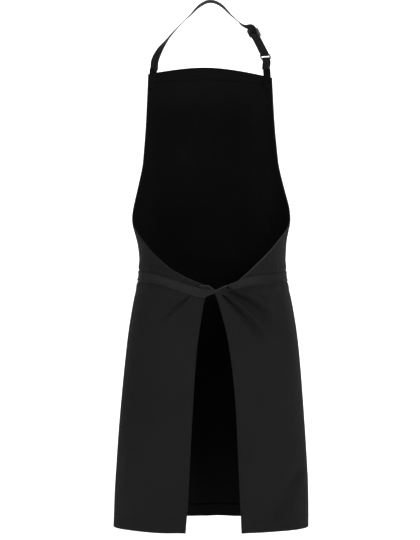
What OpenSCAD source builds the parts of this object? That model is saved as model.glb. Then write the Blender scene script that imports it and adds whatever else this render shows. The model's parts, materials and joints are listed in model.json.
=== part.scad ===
// Full-length bib apron as worn: a front panel and two back panels that wrap round to a
// centre-back vent, a black lining, an adjustable neck strap and two waist ties that cross
// at the back and are tied in a bow at the front.
// Frame: +Z up, +Y towards the wearer's front, +X to the wearer's right.
// The origin is the middle of the waist opening.

/* [Body of the apron] */
// Height of the bib's top edge above the waist
bib_top = 405; // [395:1:420]
// Length of the skirt below the waist
skirt_length = 475; // [440:1:500]
// Width of the wrapped apron at the chest
chest_width = 300; // [290:1:310]
// Width of the wrapped apron at the waist
waist_width = 279; // [270:1:290]
// Width of the wrapped apron at the hem
hem_width = 370; // [355:1:380]
// How far the front panel stands before the origin at the waist
front_depth = 103; // [98:1:110]
// How far the back panels stand behind the origin at the waist
back_depth = 96; // [90:1:100]
// How much lower the bib's corners are than its middle
corner_drop = 18.5; // [14:0.5:26]

/* [Cloth] */
// Thickness of the outer cloth
cloth_t = 1.0; // [0.8:0.1:1.2]
// Thickness of the lining
lining_t = 0.6; // [0.5:0.1:0.8]
// Thickness of a folded hem or binding
hem_t = 0.9; // [0.8:0.1:1.2]
// Height of the bottom and top hems
hem_w = 24; // [18:1:28]
// Width of the binding round the arm curves and of the vent hems
edge_w = 10; // [8:1:12]

/* [Straps and ties] */
// Width of the neck webbing
web_w = 16; // [15:1:20]
// Thickness of the neck webbing
web_t = 1.2; // [1:0.1:1.3]
// Width of the waist ties
tie_w = 20; // [18:1:22]
// Thickness of the waist ties
tie_t = 1.2; // [1:0.1:1.3]
// Length of a bow loop
loop_length = 92; // [80:1:100]
// Length of a hanging tie end
tail_length = 235; // [180:1:260]

/* [Neck adjuster] */
// Radius of the ring's wire
wire_r = 1.3; // [1.2:0.05:1.4]
// Distance between the axes of the ring's two long bars
ring_length = 8.8; // [8.4:0.1:9.2]
// Distance from the ring to the slider
slider_run = 58; // [55:0.5:68]
// Length of the slider along the strap
slider_length = 19; // [16:0.5:20]

/* [Hidden] */
$fn = 48;

shell_grey = [0.125, 0.127, 0.13];
lining_black = [0.04, 0.04, 0.04];
web_black = [0.06, 0.06, 0.065];
buckle_black = [0.05, 0.05, 0.05];

round_power = 2.2;   // how square the wrapped cross-section is: 2 is an ellipse
side_angle = 95;     // the side seams, as an angle round the body from the front
ply_gap = 0.1;       // air between the shell and its lining
hem_gap = 0.5;       // air between a panel and the hem or binding on it
lift = 0.7;          // air between a crossing band and the curved cloth under it

lining_in = cloth_t + ply_gap;
hem_in = lining_in + lining_t + hem_gap;
hem_out = hem_in + hem_t;
anchor_in = hem_out + hem_gap;

// Half widths, front and back depths and the angle of the cloth's free edge, by height
half_width = [
    [-skirt_length, hem_width / 2], [-386, hem_width / 2 - 3.5], [-234, hem_width / 2 - 13],
    [-120, hem_width / 2 - 23.5], [-44, waist_width / 2 + 10.5], [5, waist_width / 2],
    [60, waist_width / 2 + 1.5], [108, chest_width / 2], [200, chest_width / 2 + 1],
    [436, chest_width / 2 - 1]
];
front_reach = [
    [-skirt_length, front_depth - 11], [-300, front_depth - 2], [-120, front_depth + 3],
    [0, front_depth], [108, front_depth + 7], [200, front_depth + 11], [300, front_depth + 9],
    [436, front_depth - 7]
];
back_reach = [
    [-skirt_length, back_depth - 16], [-310, back_depth - 10], [-120, back_depth - 4],
    [0, back_depth], [108, back_depth + 2], [436, back_depth + 2]
];
free_edge = [
    [-skirt_length, 147.5], [-386, 150.5], [-310, 153.3], [-196, 157.6], [-120, 162.3],
    [-44, 171.6], [-25, 171.4], [-13, 168.5], [-2, 157], [9, 147.5], [20, 139], [30.5, 132.6],
    [41, 126.3], [52, 121], [63, 115.7], [74, 110.6], [85, 104.6], [97, 97.6], [109, 90.5],
    [128, 82.3], [147, 76.7], [166, 72.3], [186, 68.3], [205, 65.7], [225, 64], [264, 62.3],
    [302, 61.1], [436, 61]
];

// ---- functions for smooth curves, surfaces and directions ----

function unit(v) = v / norm(v);

function span_of(t, table, i = 0) =
    i >= len(table) - 2 || t <= table[i + 1][0] ? i : span_of(t, table, i + 1);

function slope(table, i) =
    let (a = max(i - 1, 0), b = min(i + 1, len(table) - 1))
    (table[b][1] - table[a][1]) / (table[b][0] - table[a][0]);

// A cubic through a table's rows, whose second column is a number or a point
function curve(t, table) =
    let (
        i = span_of(t, table),
        h = table[i + 1][0] - table[i][0],
        s = (t - table[i][0]) / h,
        m0 = slope(table, i) * h,
        m1 = slope(table, i + 1) * h
    )
    (2 * s * s * s - 3 * s * s + 1) * table[i][1] + (s * s * s - 2 * s * s + s) * m0
    + (3 * s * s - 2 * s * s * s) * table[i + 1][1] + (s * s * s - s * s) * m1;

// A point of the wrapped cloth: angle round from the front, height, depth under the face
function skin(angle, z, inset) =
    let (
        a = curve(z, half_width) - inset,
        b = curve(z, cos(angle) > 0 ? front_reach : back_reach) - inset,
        r = pow(
            pow(abs(sin(angle)) / a, round_power) + pow(abs(cos(angle)) / b, round_power),
            -1 / round_power
        )
    )
    [r * sin(angle), r * cos(angle), z];

function steps(from, to, n) = [for (k = [0:n]) from + (to - from) * k / n];

// How much lower the cloth is at a share of the bib's width, because the edge bows up
function bow(share, z) =
    let (high = max(0, z - 300) / (bib_top - 300)) corner_drop * share * share * high * high;

// Rows of points on the cloth between two angles at each height
function cloth(rows, from, to, cols, inset) =
    [for (i = [0:len(rows) - 1]) [
        for (k = [0:cols])
            let (angle = from[i] + (to[i] - from[i]) * k / cols)
            skin(angle, rows[i] - bow(angle / curve(rows[i], free_edge), rows[i]), inset)
    ]];

// ---- solids made from rows of points ----

// A closed solid between an outer and an inner grid of points
module ply(outer, inner) {
    rows = len(outer) - 1;
    cols = len(outer[0]) - 1;
    n = (rows + 1) * (cols + 1);
    function at(i, k) = i * (cols + 1) + k;
    faces = [
        for (i = [0:rows - 1], k = [0:cols - 1]) each [
            [at(i, k), at(i, k + 1), at(i + 1, k + 1)],
            [at(i, k), at(i + 1, k + 1), at(i + 1, k)],
            [n + at(i, k), n + at(i + 1, k + 1), n + at(i, k + 1)],
            [n + at(i, k), n + at(i + 1, k), n + at(i + 1, k + 1)]
        ],
        for (k = [0:cols - 1]) each [
            [at(0, k + 1), at(0, k), n + at(0, k)],
            [at(0, k + 1), n + at(0, k), n + at(0, k + 1)],
            [at(rows, k), at(rows, k + 1), n + at(rows, k + 1)],
            [at(rows, k), n + at(rows, k + 1), n + at(rows, k)]
        ],
        for (i = [0:rows - 1]) each [
            [at(i, 0), at(i + 1, 0), n + at(i + 1, 0)],
            [at(i, 0), n + at(i + 1, 0), n + at(i, 0)],
            [at(i + 1, cols), at(i, cols), n + at(i, cols)],
            [at(i + 1, cols), n + at(i, cols), n + at(i + 1, cols)]
        ]
    ];
    polyhedron([for (r = outer) each r, for (r = inner) each r], faces);
}

// A piece of cloth between two angles at each height, between two depths
module cloth_ply(rows, from, to, cols, inset, thick) {
    ply(cloth(rows, from, to, cols, inset), cloth(rows, from, to, cols, inset + thick));
}

// A flat band swept along points, each with the direction that its face looks in
module band(points, facing, wide, thick) {
    n = len(points) - 1;
    rings = [for (i = [0:n]) let (
        t = unit(points[min(i + 1, n)] - points[max(i - 1, 0)]),
        f = unit(facing[i] - (facing[i] * t) * t),
        w = cross(t, f) * wide / 2,
        h = f * thick / 2
    ) [points[i] - w - h, points[i] + w - h, points[i] + w + h, points[i] - w + h]];
    faces = [
        [0, 1, 2], [0, 2, 3],
        for (i = [0:n - 1], k = [0:3]) each [
            [4 * i + k, 4 * i + 4 + k, 4 * i + 4 + (k + 1) % 4],
            [4 * i + k, 4 * i + 4 + (k + 1) % 4, 4 * i + (k + 1) % 4]
        ],
        [4 * n, 4 * n + 2, 4 * n + 1], [4 * n, 4 * n + 3, 4 * n + 2]
    ];
    polyhedron([for (r = rings) each r], faces);
}

// ---- heights and edges that the pieces share ----

wing_top = 97;                                   // where the back panels begin
body_rows = concat(
    steps(-skirt_length, -400, 2), steps(-360, -80, 7), [-62, -44, -28, -14, 0, 15, 30, 48, 66, 84],
    [wing_top], steps(112, 172, 4), steps(200, 360, 5), [382, 394, bib_top]
);
wing_rows = [for (z = body_rows) if (z >= -44 && z <= wing_top) z];
skirt_rows = [for (z = body_rows) if (z <= -44) z];

function edge(z) = curve(z, free_edge);

// The vent flap turns about the straight line from the tie crossing to the hem
flap_top = -50;
flap_rows = concat([for (z = skirt_rows) if (z < flap_top - 10) z], [flap_top - 4]);
turn_top = skin(166.5, flap_top, 0);
turn_foot = skin(119, -skirt_length, 0);
turn_gap = 1.0;                                  // half the slit along the line, in degrees
function turn_at(z) =
    let (p = turn_top + (turn_foot - turn_top) * (z - flap_top) / (-skirt_length - flap_top))
    atan2(p[0], p[1]);

// ---- cloth panels ----

module front_cloth(inset, thick) {
    to = [for (z = body_rows) z > wing_top ? edge(z) : min(edge(z), side_angle)];
    cloth_ply(body_rows, -to, to, 24, inset, thick);
}

module back_cloth(inset, thick) {
    rows = concat(
        [for (z = skirt_rows) if (z < flap_top) z], [flap_top], [for (z = wing_rows) z]
    );
    from = [for (z = rows) side_angle + 0.3];
    to = [for (z = rows) z > flap_top ? edge(z) : turn_at(z) - turn_gap];
    cloth_ply(rows, from, to, 9, inset, thick);
}

module flap_cloth(inset, thick) {
    from = [for (z = flap_rows) turn_at(z) + turn_gap];
    to = [for (z = flap_rows) edge(z)];
    cloth_ply(flap_rows, from, to, 4, inset, thick);
}

module front_panel() { color(shell_grey) front_cloth(0, cloth_t); }
module front_lining() { color(lining_black) front_cloth(lining_in, lining_t); }
module back_panel() { color(shell_grey) back_cloth(0, cloth_t); }
module back_lining() { color(lining_black) back_cloth(lining_in, lining_t); }
module flap_panel() { color(shell_grey) flap_cloth(0, cloth_t); }
module flap_lining() { color(lining_black) flap_cloth(lining_in, lining_t); }

// ---- hems and bindings ----

module bib_top_hem() {
    rows = steps(bib_top - hem_w, bib_top, 3);
    to = [for (z = rows) edge(z) - 0.5];
    color(shell_grey) cloth_ply(rows, -to, to, 24, hem_in, hem_t);
}

module arm_binding() {
    rows = [for (z = body_rows) if (z >= 0) z];
    across = [for (z = rows) edge_w / norm(skin(edge(z), z, 0)) * 180 / PI];
    to = [for (z = rows) edge(z)];
    color(shell_grey) cloth_ply(rows, to - across, to, 1, -hem_t - hem_gap, hem_t);
}

module bottom_hem(from, to, cols) {
    rows = steps(-skirt_length, -skirt_length + hem_w, 2);
    color(shell_grey)
        cloth_ply(rows, [for (z = rows) from], [for (z = rows) to], cols, hem_in, hem_t);
}

module back_bottom_hem() {
    bottom_hem(side_angle + 0.5, turn_at(-skirt_length) - turn_gap - 2, 4);
}

module vent_hem() {
    rows = [for (z = flap_rows) if (z > -skirt_length + hem_w) z];
    all_rows = concat([-skirt_length + hem_w + 1], rows);
    color(shell_grey) cloth_ply(
        all_rows, [for (z = all_rows) max(edge(z) - 6, turn_at(z) + turn_gap + 1.5)],
        [for (z = all_rows) edge(z)], 1, hem_in, hem_t
    );
}

module flap_hem() {
    bottom_hem(turn_at(-skirt_length) + turn_gap + 3, edge(-skirt_length), 3);
}

// ---- waist ties, their crossing and the bow ----

tie_height = [
    [0, 0], [60, 2], [95, 1], [125, -1], [149, -8], [160, -15], [170, -20]
];
tie_in = -hem_t - hem_gap - lift - tie_t;
knot_at = skin(0, 0, tie_in) + [0, 5, 0];
cross_at = [0, -back_depth - 4, -21];

module waist_tie() {
    angles = steps(6, 168.6, 32);
    function face(inset) = [for (side = [-1, 1]) [
        for (a = angles) skin(a, curve(a, tie_height) + side * tie_w / 2, inset)
    ]];
    color(shell_grey) ply(face(tie_in), face(tie_in + tie_t));
}

module tie_crossing() {
    color(shell_grey) hull() {
        for (side = [-1, 1]) {
            translate(cross_at + [side * 13.4, -1, 0]) sphere(r = 3.4, $fn = 24);
            translate(cross_at + [side * 12, 0, 8]) sphere(r = 2.4, $fn = 24);
            translate(cross_at + [side * 12, 0, -9]) sphere(r = 2.4, $fn = 24);
        }
    }
}

module tie_bartack() {
    a = [160, 163];
    function face(inset) = [for (side = [-1, 1]) [
        for (k = a) skin(k, curve(k, tie_height) + side * tie_w * 0.4, inset)
    ]];
    color(web_black) ply(face(tie_in - 0.7), face(tie_in - 0.1));
}

module front_knot() {
    color(shell_grey) hull() for (x = [-1, 1])
        translate(knot_at + [5 * x, 4, x]) sphere(r = 9, $fn = 32);
}

// A flat loop of tie that leaves the knot, droops and comes back
module bow_loop() {
    droop = 28;
    along = [cos(droop), 0, -sin(droop)];
    out = [0, 1, 0];
    share = steps(0, 1, 24);
    points = [for (s = share) let (
        reach = 8 + (loop_length - 8) * pow(sin(180 * s), 0.8),
        open = 4.4 * sin(180 * s) + 1.4
    ) knot_at + along * (reach + 8) + out * open * cos(180 * s)
        + [0, 4, -loop_length * 0.1 * pow(sin(180 * s), 2)]];
    facing = [for (i = [0:24]) let (
        t = unit(points[min(i + 1, 24)] - points[max(i - 1, 0)])
    ) cross(t, cross(along, out))];
    color(shell_grey) band(points, facing, tie_w, tie_t);
}

module tie_tail() {
    start = knot_at + [11.5, 7, -13];
    points = [for (s = steps(0, 1, 12))
        start + [22 * s + 5 * sin(140 * s), 2 + 6 * sin(180 * s), -tail_length * s]];
    color(shell_grey)
        band(points, [for (s = steps(0, 1, 12)) [0.25 * sin(200 * s), 1, 0]], tie_w, tie_t);
}

// ---- neck strap, tab, ring and slider ----

strap_foot = 400;                                // height at which the webbing leaves the bib
foot_angle = 57.5;
strap_start = skin(foot_angle, strap_foot, anchor_in + web_t / 2);
strap_facing = [-0.12, 0.77, 0.63];
function flip(v) = [-v[0], v[1], v[2]];
function across(v, axis) = unit(v - (v * axis) * axis);

ring_top = [105.3, 46, 425.4];                   // middle of the ring's upper bar
run_dir = unit([-25.1, -44, 41]);                // up the straight run to the slider
run_wide = across([-0.88, 0.47, 0], run_dir);    // along the bars of the slider
run_facing = cross(run_wide, run_dir);
ring_dir = across([-0.6, -4.5, 7.2], run_wide);
ring_facing = cross(run_wide, ring_dir);
ring_foot = ring_top - ring_dir * ring_length;   // middle of the ring's lower bar
turn_r = wire_r + 0.5 + web_t / 2;               // middle of the webbing round a bar

// The webbing's route: the share of the way, the point and the direction that it faces
strap_route = [
    [flip(strap_start), flip(strap_facing)],
    [[-105.7, 56, 416], [-0.25, 0.74, 0.62]],
    [[-95.7, 34, 434], [-0.52, 0.50, 0.69]],
    [[-81.2, 8, 450.5], [-0.58, 0.20, 0.79]],
    [[-61.6, -22, 469], [-0.52, -0.02, 0.85]],
    [[-37.6, -51, 489], [-0.40, -0.30, 0.87]],
    [[-19, -71, 504.5], [-0.20, -0.42, 0.88]],
    [[0, -79, 511.5], [0, -0.46, 0.89]],
    [[20, -72, 505.5], [0.20, -0.42, 0.88]],
    [[42, -50, 487.5], [0.38, -0.22, 0.89]],
    [[60, -25, 476], [0.42, 0.15, 0.89]],
    [ring_top + run_facing * turn_r + run_dir * (slider_run + 11), run_facing],
    [ring_top + run_facing * turn_r + run_dir * slider_run / 2, run_facing],
    [ring_top + run_facing * turn_r, run_facing]
];
route_points = [for (i = [0:len(strap_route) - 1]) [i, strap_route[i][0]]];
route_facing = [for (i = [0:len(strap_route) - 1]) [i, strap_route[i][1]]];

module neck_strap() {
    last = len(strap_route) - 1;
    free = steps(0, last - 3, 4 * (last - 3));
    bight = steps(0, 180, 8);
    points = concat(
        [for (s = free) curve(s, route_points)],
        [for (i = [last - 2:last - 1]) strap_route[i][0]],
        [for (a = bight)
            ring_top + run_facing * turn_r * cos(a) - run_dir * turn_r * sin(a)]
    );
    facing = concat(
        [for (s = free) curve(s, route_facing)],
        [for (i = [last - 2:last - 1]) run_facing],
        [for (a = bight) run_facing * cos(a) - run_dir * sin(a)]
    );
    color(web_black) band(points, facing, web_w, web_t);
}

fold_depth = -1.3;                               // the slider's centre bar, below the ring's plane
fold_tail = 13;                                  // length of the stitched end

module neck_strap_return() {
    far = slider_run - fold_tail - 0.5;
    points = [for (s = steps(0, 1, 6))
        ring_top + run_dir * (0.3 + (far - 0.3) * s)
        + run_facing * (-turn_r + (fold_depth + turn_r) * (s * s * (3 - 2 * s)))];
    color(web_black) band(points, [for (p = points) -run_facing], web_w, web_t);
}

// The tab's middle line: it leaves the bib along the cloth and comes to the ring square to its lower bar
module ring_tab() {
    lead = 3;                                    // last straight stretch before the bar
    from = strap_start;
    to = ring_foot - ring_dir * lead;
    leave = across([0, -0.6, 0.77], unit(strap_facing)) * 18;
    arrive = ring_dir * 18;
    climb = steps(0, 1, 7);
    drop = steps(1, 0.06, 7);
    bight = steps(-90, 90, 8);
    function ease(s) = let (e = min(1, s / 0.85)) e * e * (3 - 2 * e);
    function mid(s) = from * (1 - ease3(s)) + to * ease3(s)
        + leave * (s * s * s - 2 * s * s + s) + arrive * (s * s * s - s * s);
    function ease3(s) = s * s * (3 - 2 * s);
    function way(s, side) = mid(s)
        + ring_facing * side * (web_t * 0.6 + (turn_r - web_t * 0.6) * ease(s));
    function look(s) = ring_facing * ease(s) + strap_facing * (1 - ease(s));
    points = concat(
        [for (s = climb) way(s, 1)],
        [for (a = bight) ring_foot - ring_facing * turn_r * sin(a) + ring_dir * turn_r * cos(a)],
        [for (s = drop) way(s, -1)]
    );
    facing = concat(
        [for (s = climb) look(s)],
        [for (a = bight) -ring_facing * sin(a) + ring_dir * cos(a)],
        [for (s = drop) -look(s)]
    );
    color(web_black) band(points, facing, web_w - 1.5, web_t);
}

// Places its children with X across the strap, Y up the strap and Z out of its face
module in_frame(at, wide, up, face) {
    multmatrix([
        [wide[0], up[0], face[0], at[0]],
        [wide[1], up[1], face[1], at[1]],
        [wide[2], up[2], face[2], at[2]],
        [0, 0, 0, 1]
    ]) children();
}

module rod(from, to, r) {
    d = to - from;
    translate(from) rotate([0, acos(d[2] / norm(d)), atan2(d[1], d[0])])
        cylinder(h = norm(d), r = r);
}

module adjuster_ring() {
    half = web_w / 2 + 0.6 + wire_r;
    color(buckle_black) in_frame(ring_foot, -run_wide, ring_dir, ring_facing) {
        for (y = [0, ring_length]) rod([-half, y, 0], [half, y, 0], wire_r);
        for (x = [-half, half]) {
            rod([x, 0, 0], [x, ring_length, 0], wire_r);
            for (y = [0, ring_length]) translate([x, y, 0]) sphere(r = wire_r);
        }
    }
}

slider_mid = ring_top + run_dir * slider_run;
rail_w = 2.6;
bar_t = 1.5;
bar_r = 1.2;                                     // the slider's centre bar
web_top = turn_r + web_t / 2 + 0.35;             // underside of the slider's end bars

module adjuster_slider() {
    inner = web_w / 2 + 0.5;
    low = fold_depth - 1.6;
    color(buckle_black) in_frame(slider_mid, -run_wide, run_dir, run_facing) {
        for (x = [-inner - rail_w, inner])
            translate([x, -slider_length / 2, low]) cube([rail_w, slider_length, web_top + bar_t - low]);
        for (y = [-slider_length / 2, slider_length / 2 - 3.4])
            translate([-inner - 1, y, web_top]) cube([2 * inner + 2, 3.4, bar_t]);
        rod([-inner - 1, 0, fold_depth], [inner + 1, 0, fold_depth], bar_r);
    }
}

module strap_end_fold() {
    r = bar_r + 0.12;
    color(web_black) in_frame(slider_mid, -run_wide, run_dir, run_facing)
        translate([-web_w / 2, 0, fold_depth]) rotate([90, 0, 90]) difference() {
            union() {
                cylinder(h = web_w, r = r + web_t);
                translate([-fold_tail, -web_t, 0]) cube([fold_tail, 2 * web_t, web_w]);
            }
            translate([0, 0, -1]) cylinder(h = web_w + 2, r = r);
        }
}

// The sewn foot of the strap or tab inside a corner of the bib, up to where it comes free
module strap_anchor() {
    rows = [362, 378, 390, strap_foot - 2.5];
    turn = web_w / 2 / norm(skin(foot_angle, 390, anchor_in)) * 180 / PI;
    function face(inset) = [for (z = rows) [
        for (a = steps(foot_angle - turn, foot_angle + turn, 3)) skin(a, z, inset)
    ]];
    color(web_black) ply(face(anchor_in), face(anchor_in + web_t));
}

module strap_bartack(z) {
    function face(inset) = [for (h = [z, z + 2]) [
        for (a = steps(foot_angle - 3, foot_angle + 1.2, 2)) skin(a, h, inset)
    ]];
    color(web_black) ply(face(-0.6), face(-0.05));
}

module both_sides() {
    children();
    mirror([1, 0, 0]) children();
}

front_panel();
front_lining();
mirror([1, 0, 0]) back_panel();  // left_back_panel
back_panel();  // right_back_panel
mirror([1, 0, 0]) back_lining();  // left_back_lining
back_lining();  // right_back_lining
bib_top_hem();
mirror([1, 0, 0]) arm_binding();  // left_arm_binding
arm_binding();  // right_arm_binding
bottom_hem(-side_angle + 0.5, side_angle - 0.5, 24);  // front_bottom_hem
mirror([1, 0, 0]) back_bottom_hem();  // left_bottom_hem
back_bottom_hem();  // right_bottom_hem
mirror([1, 0, 0]) strap_anchor();  // left_strap_anchor
strap_anchor();  // right_tab_anchor
both_sides() for (z = [366, 380]) strap_bartack(z);  // strap_bartacks
waist_tie();  // left_waist_tie
mirror([1, 0, 0]) waist_tie();  // right_waist_tie
tie_crossing();
both_sides() tie_bartack();  // tie_bartacks
front_knot();
mirror([1, 0, 0]) bow_loop();  // left_bow_loop
bow_loop();  // right_bow_loop
mirror([1, 0, 0]) flap_panel();  // left_flap_panel
mirror([1, 0, 0]) flap_lining();  // left_flap_lining
mirror([1, 0, 0]) vent_hem();  // left_vent_hem
mirror([1, 0, 0]) flap_hem();  // left_flap_hem
flap_panel();  // right_flap_panel
flap_lining();  // right_flap_lining
vent_hem();  // right_vent_hem
flap_hem();  // right_flap_hem
neck_strap();
neck_strap_return();
ring_tab();
adjuster_ring();
adjuster_slider();
strap_end_fold();
mirror([1, 0, 0]) tie_tail();  // left_tie_tail
tie_tail();  // right_tie_tail
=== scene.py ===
# Long wrap-round bib apron in charcoal twill with a black lining, as worn and seen from behind
import json
import math

import bpy
import numpy as np
from mathutils import Vector
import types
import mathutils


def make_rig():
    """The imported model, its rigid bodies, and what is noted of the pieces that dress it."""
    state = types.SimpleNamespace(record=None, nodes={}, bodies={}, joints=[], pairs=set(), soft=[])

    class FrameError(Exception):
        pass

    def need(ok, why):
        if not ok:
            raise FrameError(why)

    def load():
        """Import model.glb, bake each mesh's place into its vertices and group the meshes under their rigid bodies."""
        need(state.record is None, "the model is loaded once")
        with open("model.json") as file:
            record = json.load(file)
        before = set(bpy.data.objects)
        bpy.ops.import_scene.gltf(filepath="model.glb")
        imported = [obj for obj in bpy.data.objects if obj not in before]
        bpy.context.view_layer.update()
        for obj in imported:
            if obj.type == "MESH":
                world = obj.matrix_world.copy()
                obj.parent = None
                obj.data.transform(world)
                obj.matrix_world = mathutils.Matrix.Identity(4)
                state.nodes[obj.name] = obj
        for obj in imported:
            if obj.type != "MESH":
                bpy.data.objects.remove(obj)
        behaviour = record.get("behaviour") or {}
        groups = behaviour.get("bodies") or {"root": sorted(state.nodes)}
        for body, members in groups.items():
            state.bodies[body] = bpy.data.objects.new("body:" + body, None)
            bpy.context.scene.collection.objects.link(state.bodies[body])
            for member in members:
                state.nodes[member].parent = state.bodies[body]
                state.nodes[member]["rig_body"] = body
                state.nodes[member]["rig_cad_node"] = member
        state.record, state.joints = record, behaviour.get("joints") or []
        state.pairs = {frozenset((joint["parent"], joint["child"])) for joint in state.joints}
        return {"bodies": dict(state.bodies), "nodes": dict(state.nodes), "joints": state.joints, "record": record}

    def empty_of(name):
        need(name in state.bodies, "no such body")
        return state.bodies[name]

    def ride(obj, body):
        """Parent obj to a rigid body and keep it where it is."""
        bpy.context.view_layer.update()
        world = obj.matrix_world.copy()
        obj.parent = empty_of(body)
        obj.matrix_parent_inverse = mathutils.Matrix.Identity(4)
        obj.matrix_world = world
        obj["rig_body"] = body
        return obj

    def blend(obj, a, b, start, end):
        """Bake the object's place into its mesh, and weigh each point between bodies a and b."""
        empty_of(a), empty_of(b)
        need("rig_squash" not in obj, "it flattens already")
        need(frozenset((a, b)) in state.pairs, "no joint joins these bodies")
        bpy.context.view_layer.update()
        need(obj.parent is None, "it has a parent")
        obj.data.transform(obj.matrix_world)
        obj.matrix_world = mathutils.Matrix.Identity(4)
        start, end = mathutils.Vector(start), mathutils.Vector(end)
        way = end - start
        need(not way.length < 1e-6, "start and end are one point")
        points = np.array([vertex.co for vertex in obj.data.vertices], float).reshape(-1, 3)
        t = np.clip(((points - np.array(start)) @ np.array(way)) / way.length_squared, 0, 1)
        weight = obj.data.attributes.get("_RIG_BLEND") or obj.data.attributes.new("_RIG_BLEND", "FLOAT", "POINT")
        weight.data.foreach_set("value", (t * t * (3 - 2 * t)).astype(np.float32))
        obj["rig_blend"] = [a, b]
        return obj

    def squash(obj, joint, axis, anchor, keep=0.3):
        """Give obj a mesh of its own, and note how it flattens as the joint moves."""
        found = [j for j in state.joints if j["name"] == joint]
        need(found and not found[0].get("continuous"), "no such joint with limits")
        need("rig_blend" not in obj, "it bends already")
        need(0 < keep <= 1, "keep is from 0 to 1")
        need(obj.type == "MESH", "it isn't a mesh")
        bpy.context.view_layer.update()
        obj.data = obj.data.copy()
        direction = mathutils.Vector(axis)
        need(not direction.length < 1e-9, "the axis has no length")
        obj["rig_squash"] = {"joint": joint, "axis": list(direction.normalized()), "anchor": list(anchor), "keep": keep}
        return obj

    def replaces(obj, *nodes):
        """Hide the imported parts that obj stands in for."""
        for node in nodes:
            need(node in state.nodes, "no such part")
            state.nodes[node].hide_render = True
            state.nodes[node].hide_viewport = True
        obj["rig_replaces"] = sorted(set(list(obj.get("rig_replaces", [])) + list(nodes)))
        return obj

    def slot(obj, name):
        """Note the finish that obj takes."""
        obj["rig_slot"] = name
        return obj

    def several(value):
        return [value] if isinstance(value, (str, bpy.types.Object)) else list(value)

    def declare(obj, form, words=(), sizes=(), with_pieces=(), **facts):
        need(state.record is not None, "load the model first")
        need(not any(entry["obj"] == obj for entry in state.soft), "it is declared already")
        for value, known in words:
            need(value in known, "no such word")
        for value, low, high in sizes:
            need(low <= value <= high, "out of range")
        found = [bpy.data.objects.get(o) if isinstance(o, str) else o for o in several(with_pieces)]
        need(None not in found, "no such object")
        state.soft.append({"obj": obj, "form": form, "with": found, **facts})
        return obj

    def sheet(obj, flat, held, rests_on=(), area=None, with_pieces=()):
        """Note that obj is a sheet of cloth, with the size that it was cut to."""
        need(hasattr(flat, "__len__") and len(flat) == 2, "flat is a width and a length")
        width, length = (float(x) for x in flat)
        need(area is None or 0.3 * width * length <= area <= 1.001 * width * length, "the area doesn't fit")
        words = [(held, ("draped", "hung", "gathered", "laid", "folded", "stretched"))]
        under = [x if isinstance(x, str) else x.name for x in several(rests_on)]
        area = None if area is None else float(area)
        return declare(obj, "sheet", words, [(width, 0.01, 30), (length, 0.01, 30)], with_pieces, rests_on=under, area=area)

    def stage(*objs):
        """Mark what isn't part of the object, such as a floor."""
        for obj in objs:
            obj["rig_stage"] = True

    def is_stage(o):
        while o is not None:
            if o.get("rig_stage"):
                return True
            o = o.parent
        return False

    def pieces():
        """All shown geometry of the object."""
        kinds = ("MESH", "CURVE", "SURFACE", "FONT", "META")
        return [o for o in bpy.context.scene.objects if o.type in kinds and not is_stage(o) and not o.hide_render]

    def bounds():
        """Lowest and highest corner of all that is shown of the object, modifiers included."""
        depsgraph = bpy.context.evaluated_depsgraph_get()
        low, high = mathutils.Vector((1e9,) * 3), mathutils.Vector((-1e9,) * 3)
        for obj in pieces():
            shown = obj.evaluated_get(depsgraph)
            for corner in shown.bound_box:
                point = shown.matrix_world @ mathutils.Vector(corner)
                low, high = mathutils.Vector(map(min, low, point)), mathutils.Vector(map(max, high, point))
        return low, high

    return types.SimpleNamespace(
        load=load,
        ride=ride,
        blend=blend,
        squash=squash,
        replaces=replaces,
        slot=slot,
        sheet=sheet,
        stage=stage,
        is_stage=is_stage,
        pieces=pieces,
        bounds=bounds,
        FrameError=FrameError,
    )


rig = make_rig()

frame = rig.load()
cadLow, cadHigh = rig.bounds()
scene = bpy.context.scene
scene.view_settings.view_transform = "Standard"

# ---- camera ----

cameraSetup = {"place": (0.0, -3.0, 0.147), "tiltDown": 2.54, "lens": 105.3, "sensor": 36.0}

camData = bpy.data.cameras.new("backCamera")
camData.lens = cameraSetup["lens"]
camData.sensor_width = cameraSetup["sensor"]
camData.dof.use_dof = False
cam = bpy.data.objects.new("backCamera", camData)
cam.location = cameraSetup["place"]
cam.rotation_euler = (math.radians(90 - cameraSetup["tiltDown"]), 0, 0)
scene.collection.objects.link(cam)
scene.camera = cam

# ---- curves and grids ----


def curveAt(t, table):
    # cubic through a table's rows: (1, t, t2, t3) blend of the two rows around t and their slopes
    x = np.array([row[0] for row in table], float)
    y = np.array([row[1] for row in table], float)
    t = np.asarray(t, float)
    m = np.empty_like(y)
    if y.ndim == 1:
        m[1:-1] = (y[2:] - y[:-2]) / (x[2:] - x[:-2])
        m[0], m[-1] = (y[1] - y[0]) / (x[1] - x[0]), (y[-1] - y[-2]) / (x[-1] - x[-2])
    else:
        m[1:-1] = (y[2:] - y[:-2]) / (x[2:] - x[:-2])[:, None]
        m[0], m[-1] = (y[1] - y[0]) / (x[1] - x[0]), (y[-1] - y[-2]) / (x[-1] - x[-2])
    i = np.clip(np.searchsorted(x, t, side="left") - 1, 0, len(x) - 2)
    h = x[i + 1] - x[i]
    s = (t - x[i]) / h
    if y.ndim > 1:
        h, s = h[..., None], s[..., None]
    return (
        (2 * s**3 - 3 * s * s + 1) * y[i] + (s**3 - 2 * s * s + s) * h * m[i]
        + (3 * s * s - 2 * s**3) * y[i + 1] + (s**3 - s * s) * h * m[i + 1]
    )


def smooth(t):
    # 3t2 - 2t3, held at 0 and 1 outside
    t = np.clip(t, 0, 1)
    return t * t * (3 - 2 * t)


def unit(v):
    return v / np.maximum(np.linalg.norm(v, axis=-1, keepdims=True), 1e-12)


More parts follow.
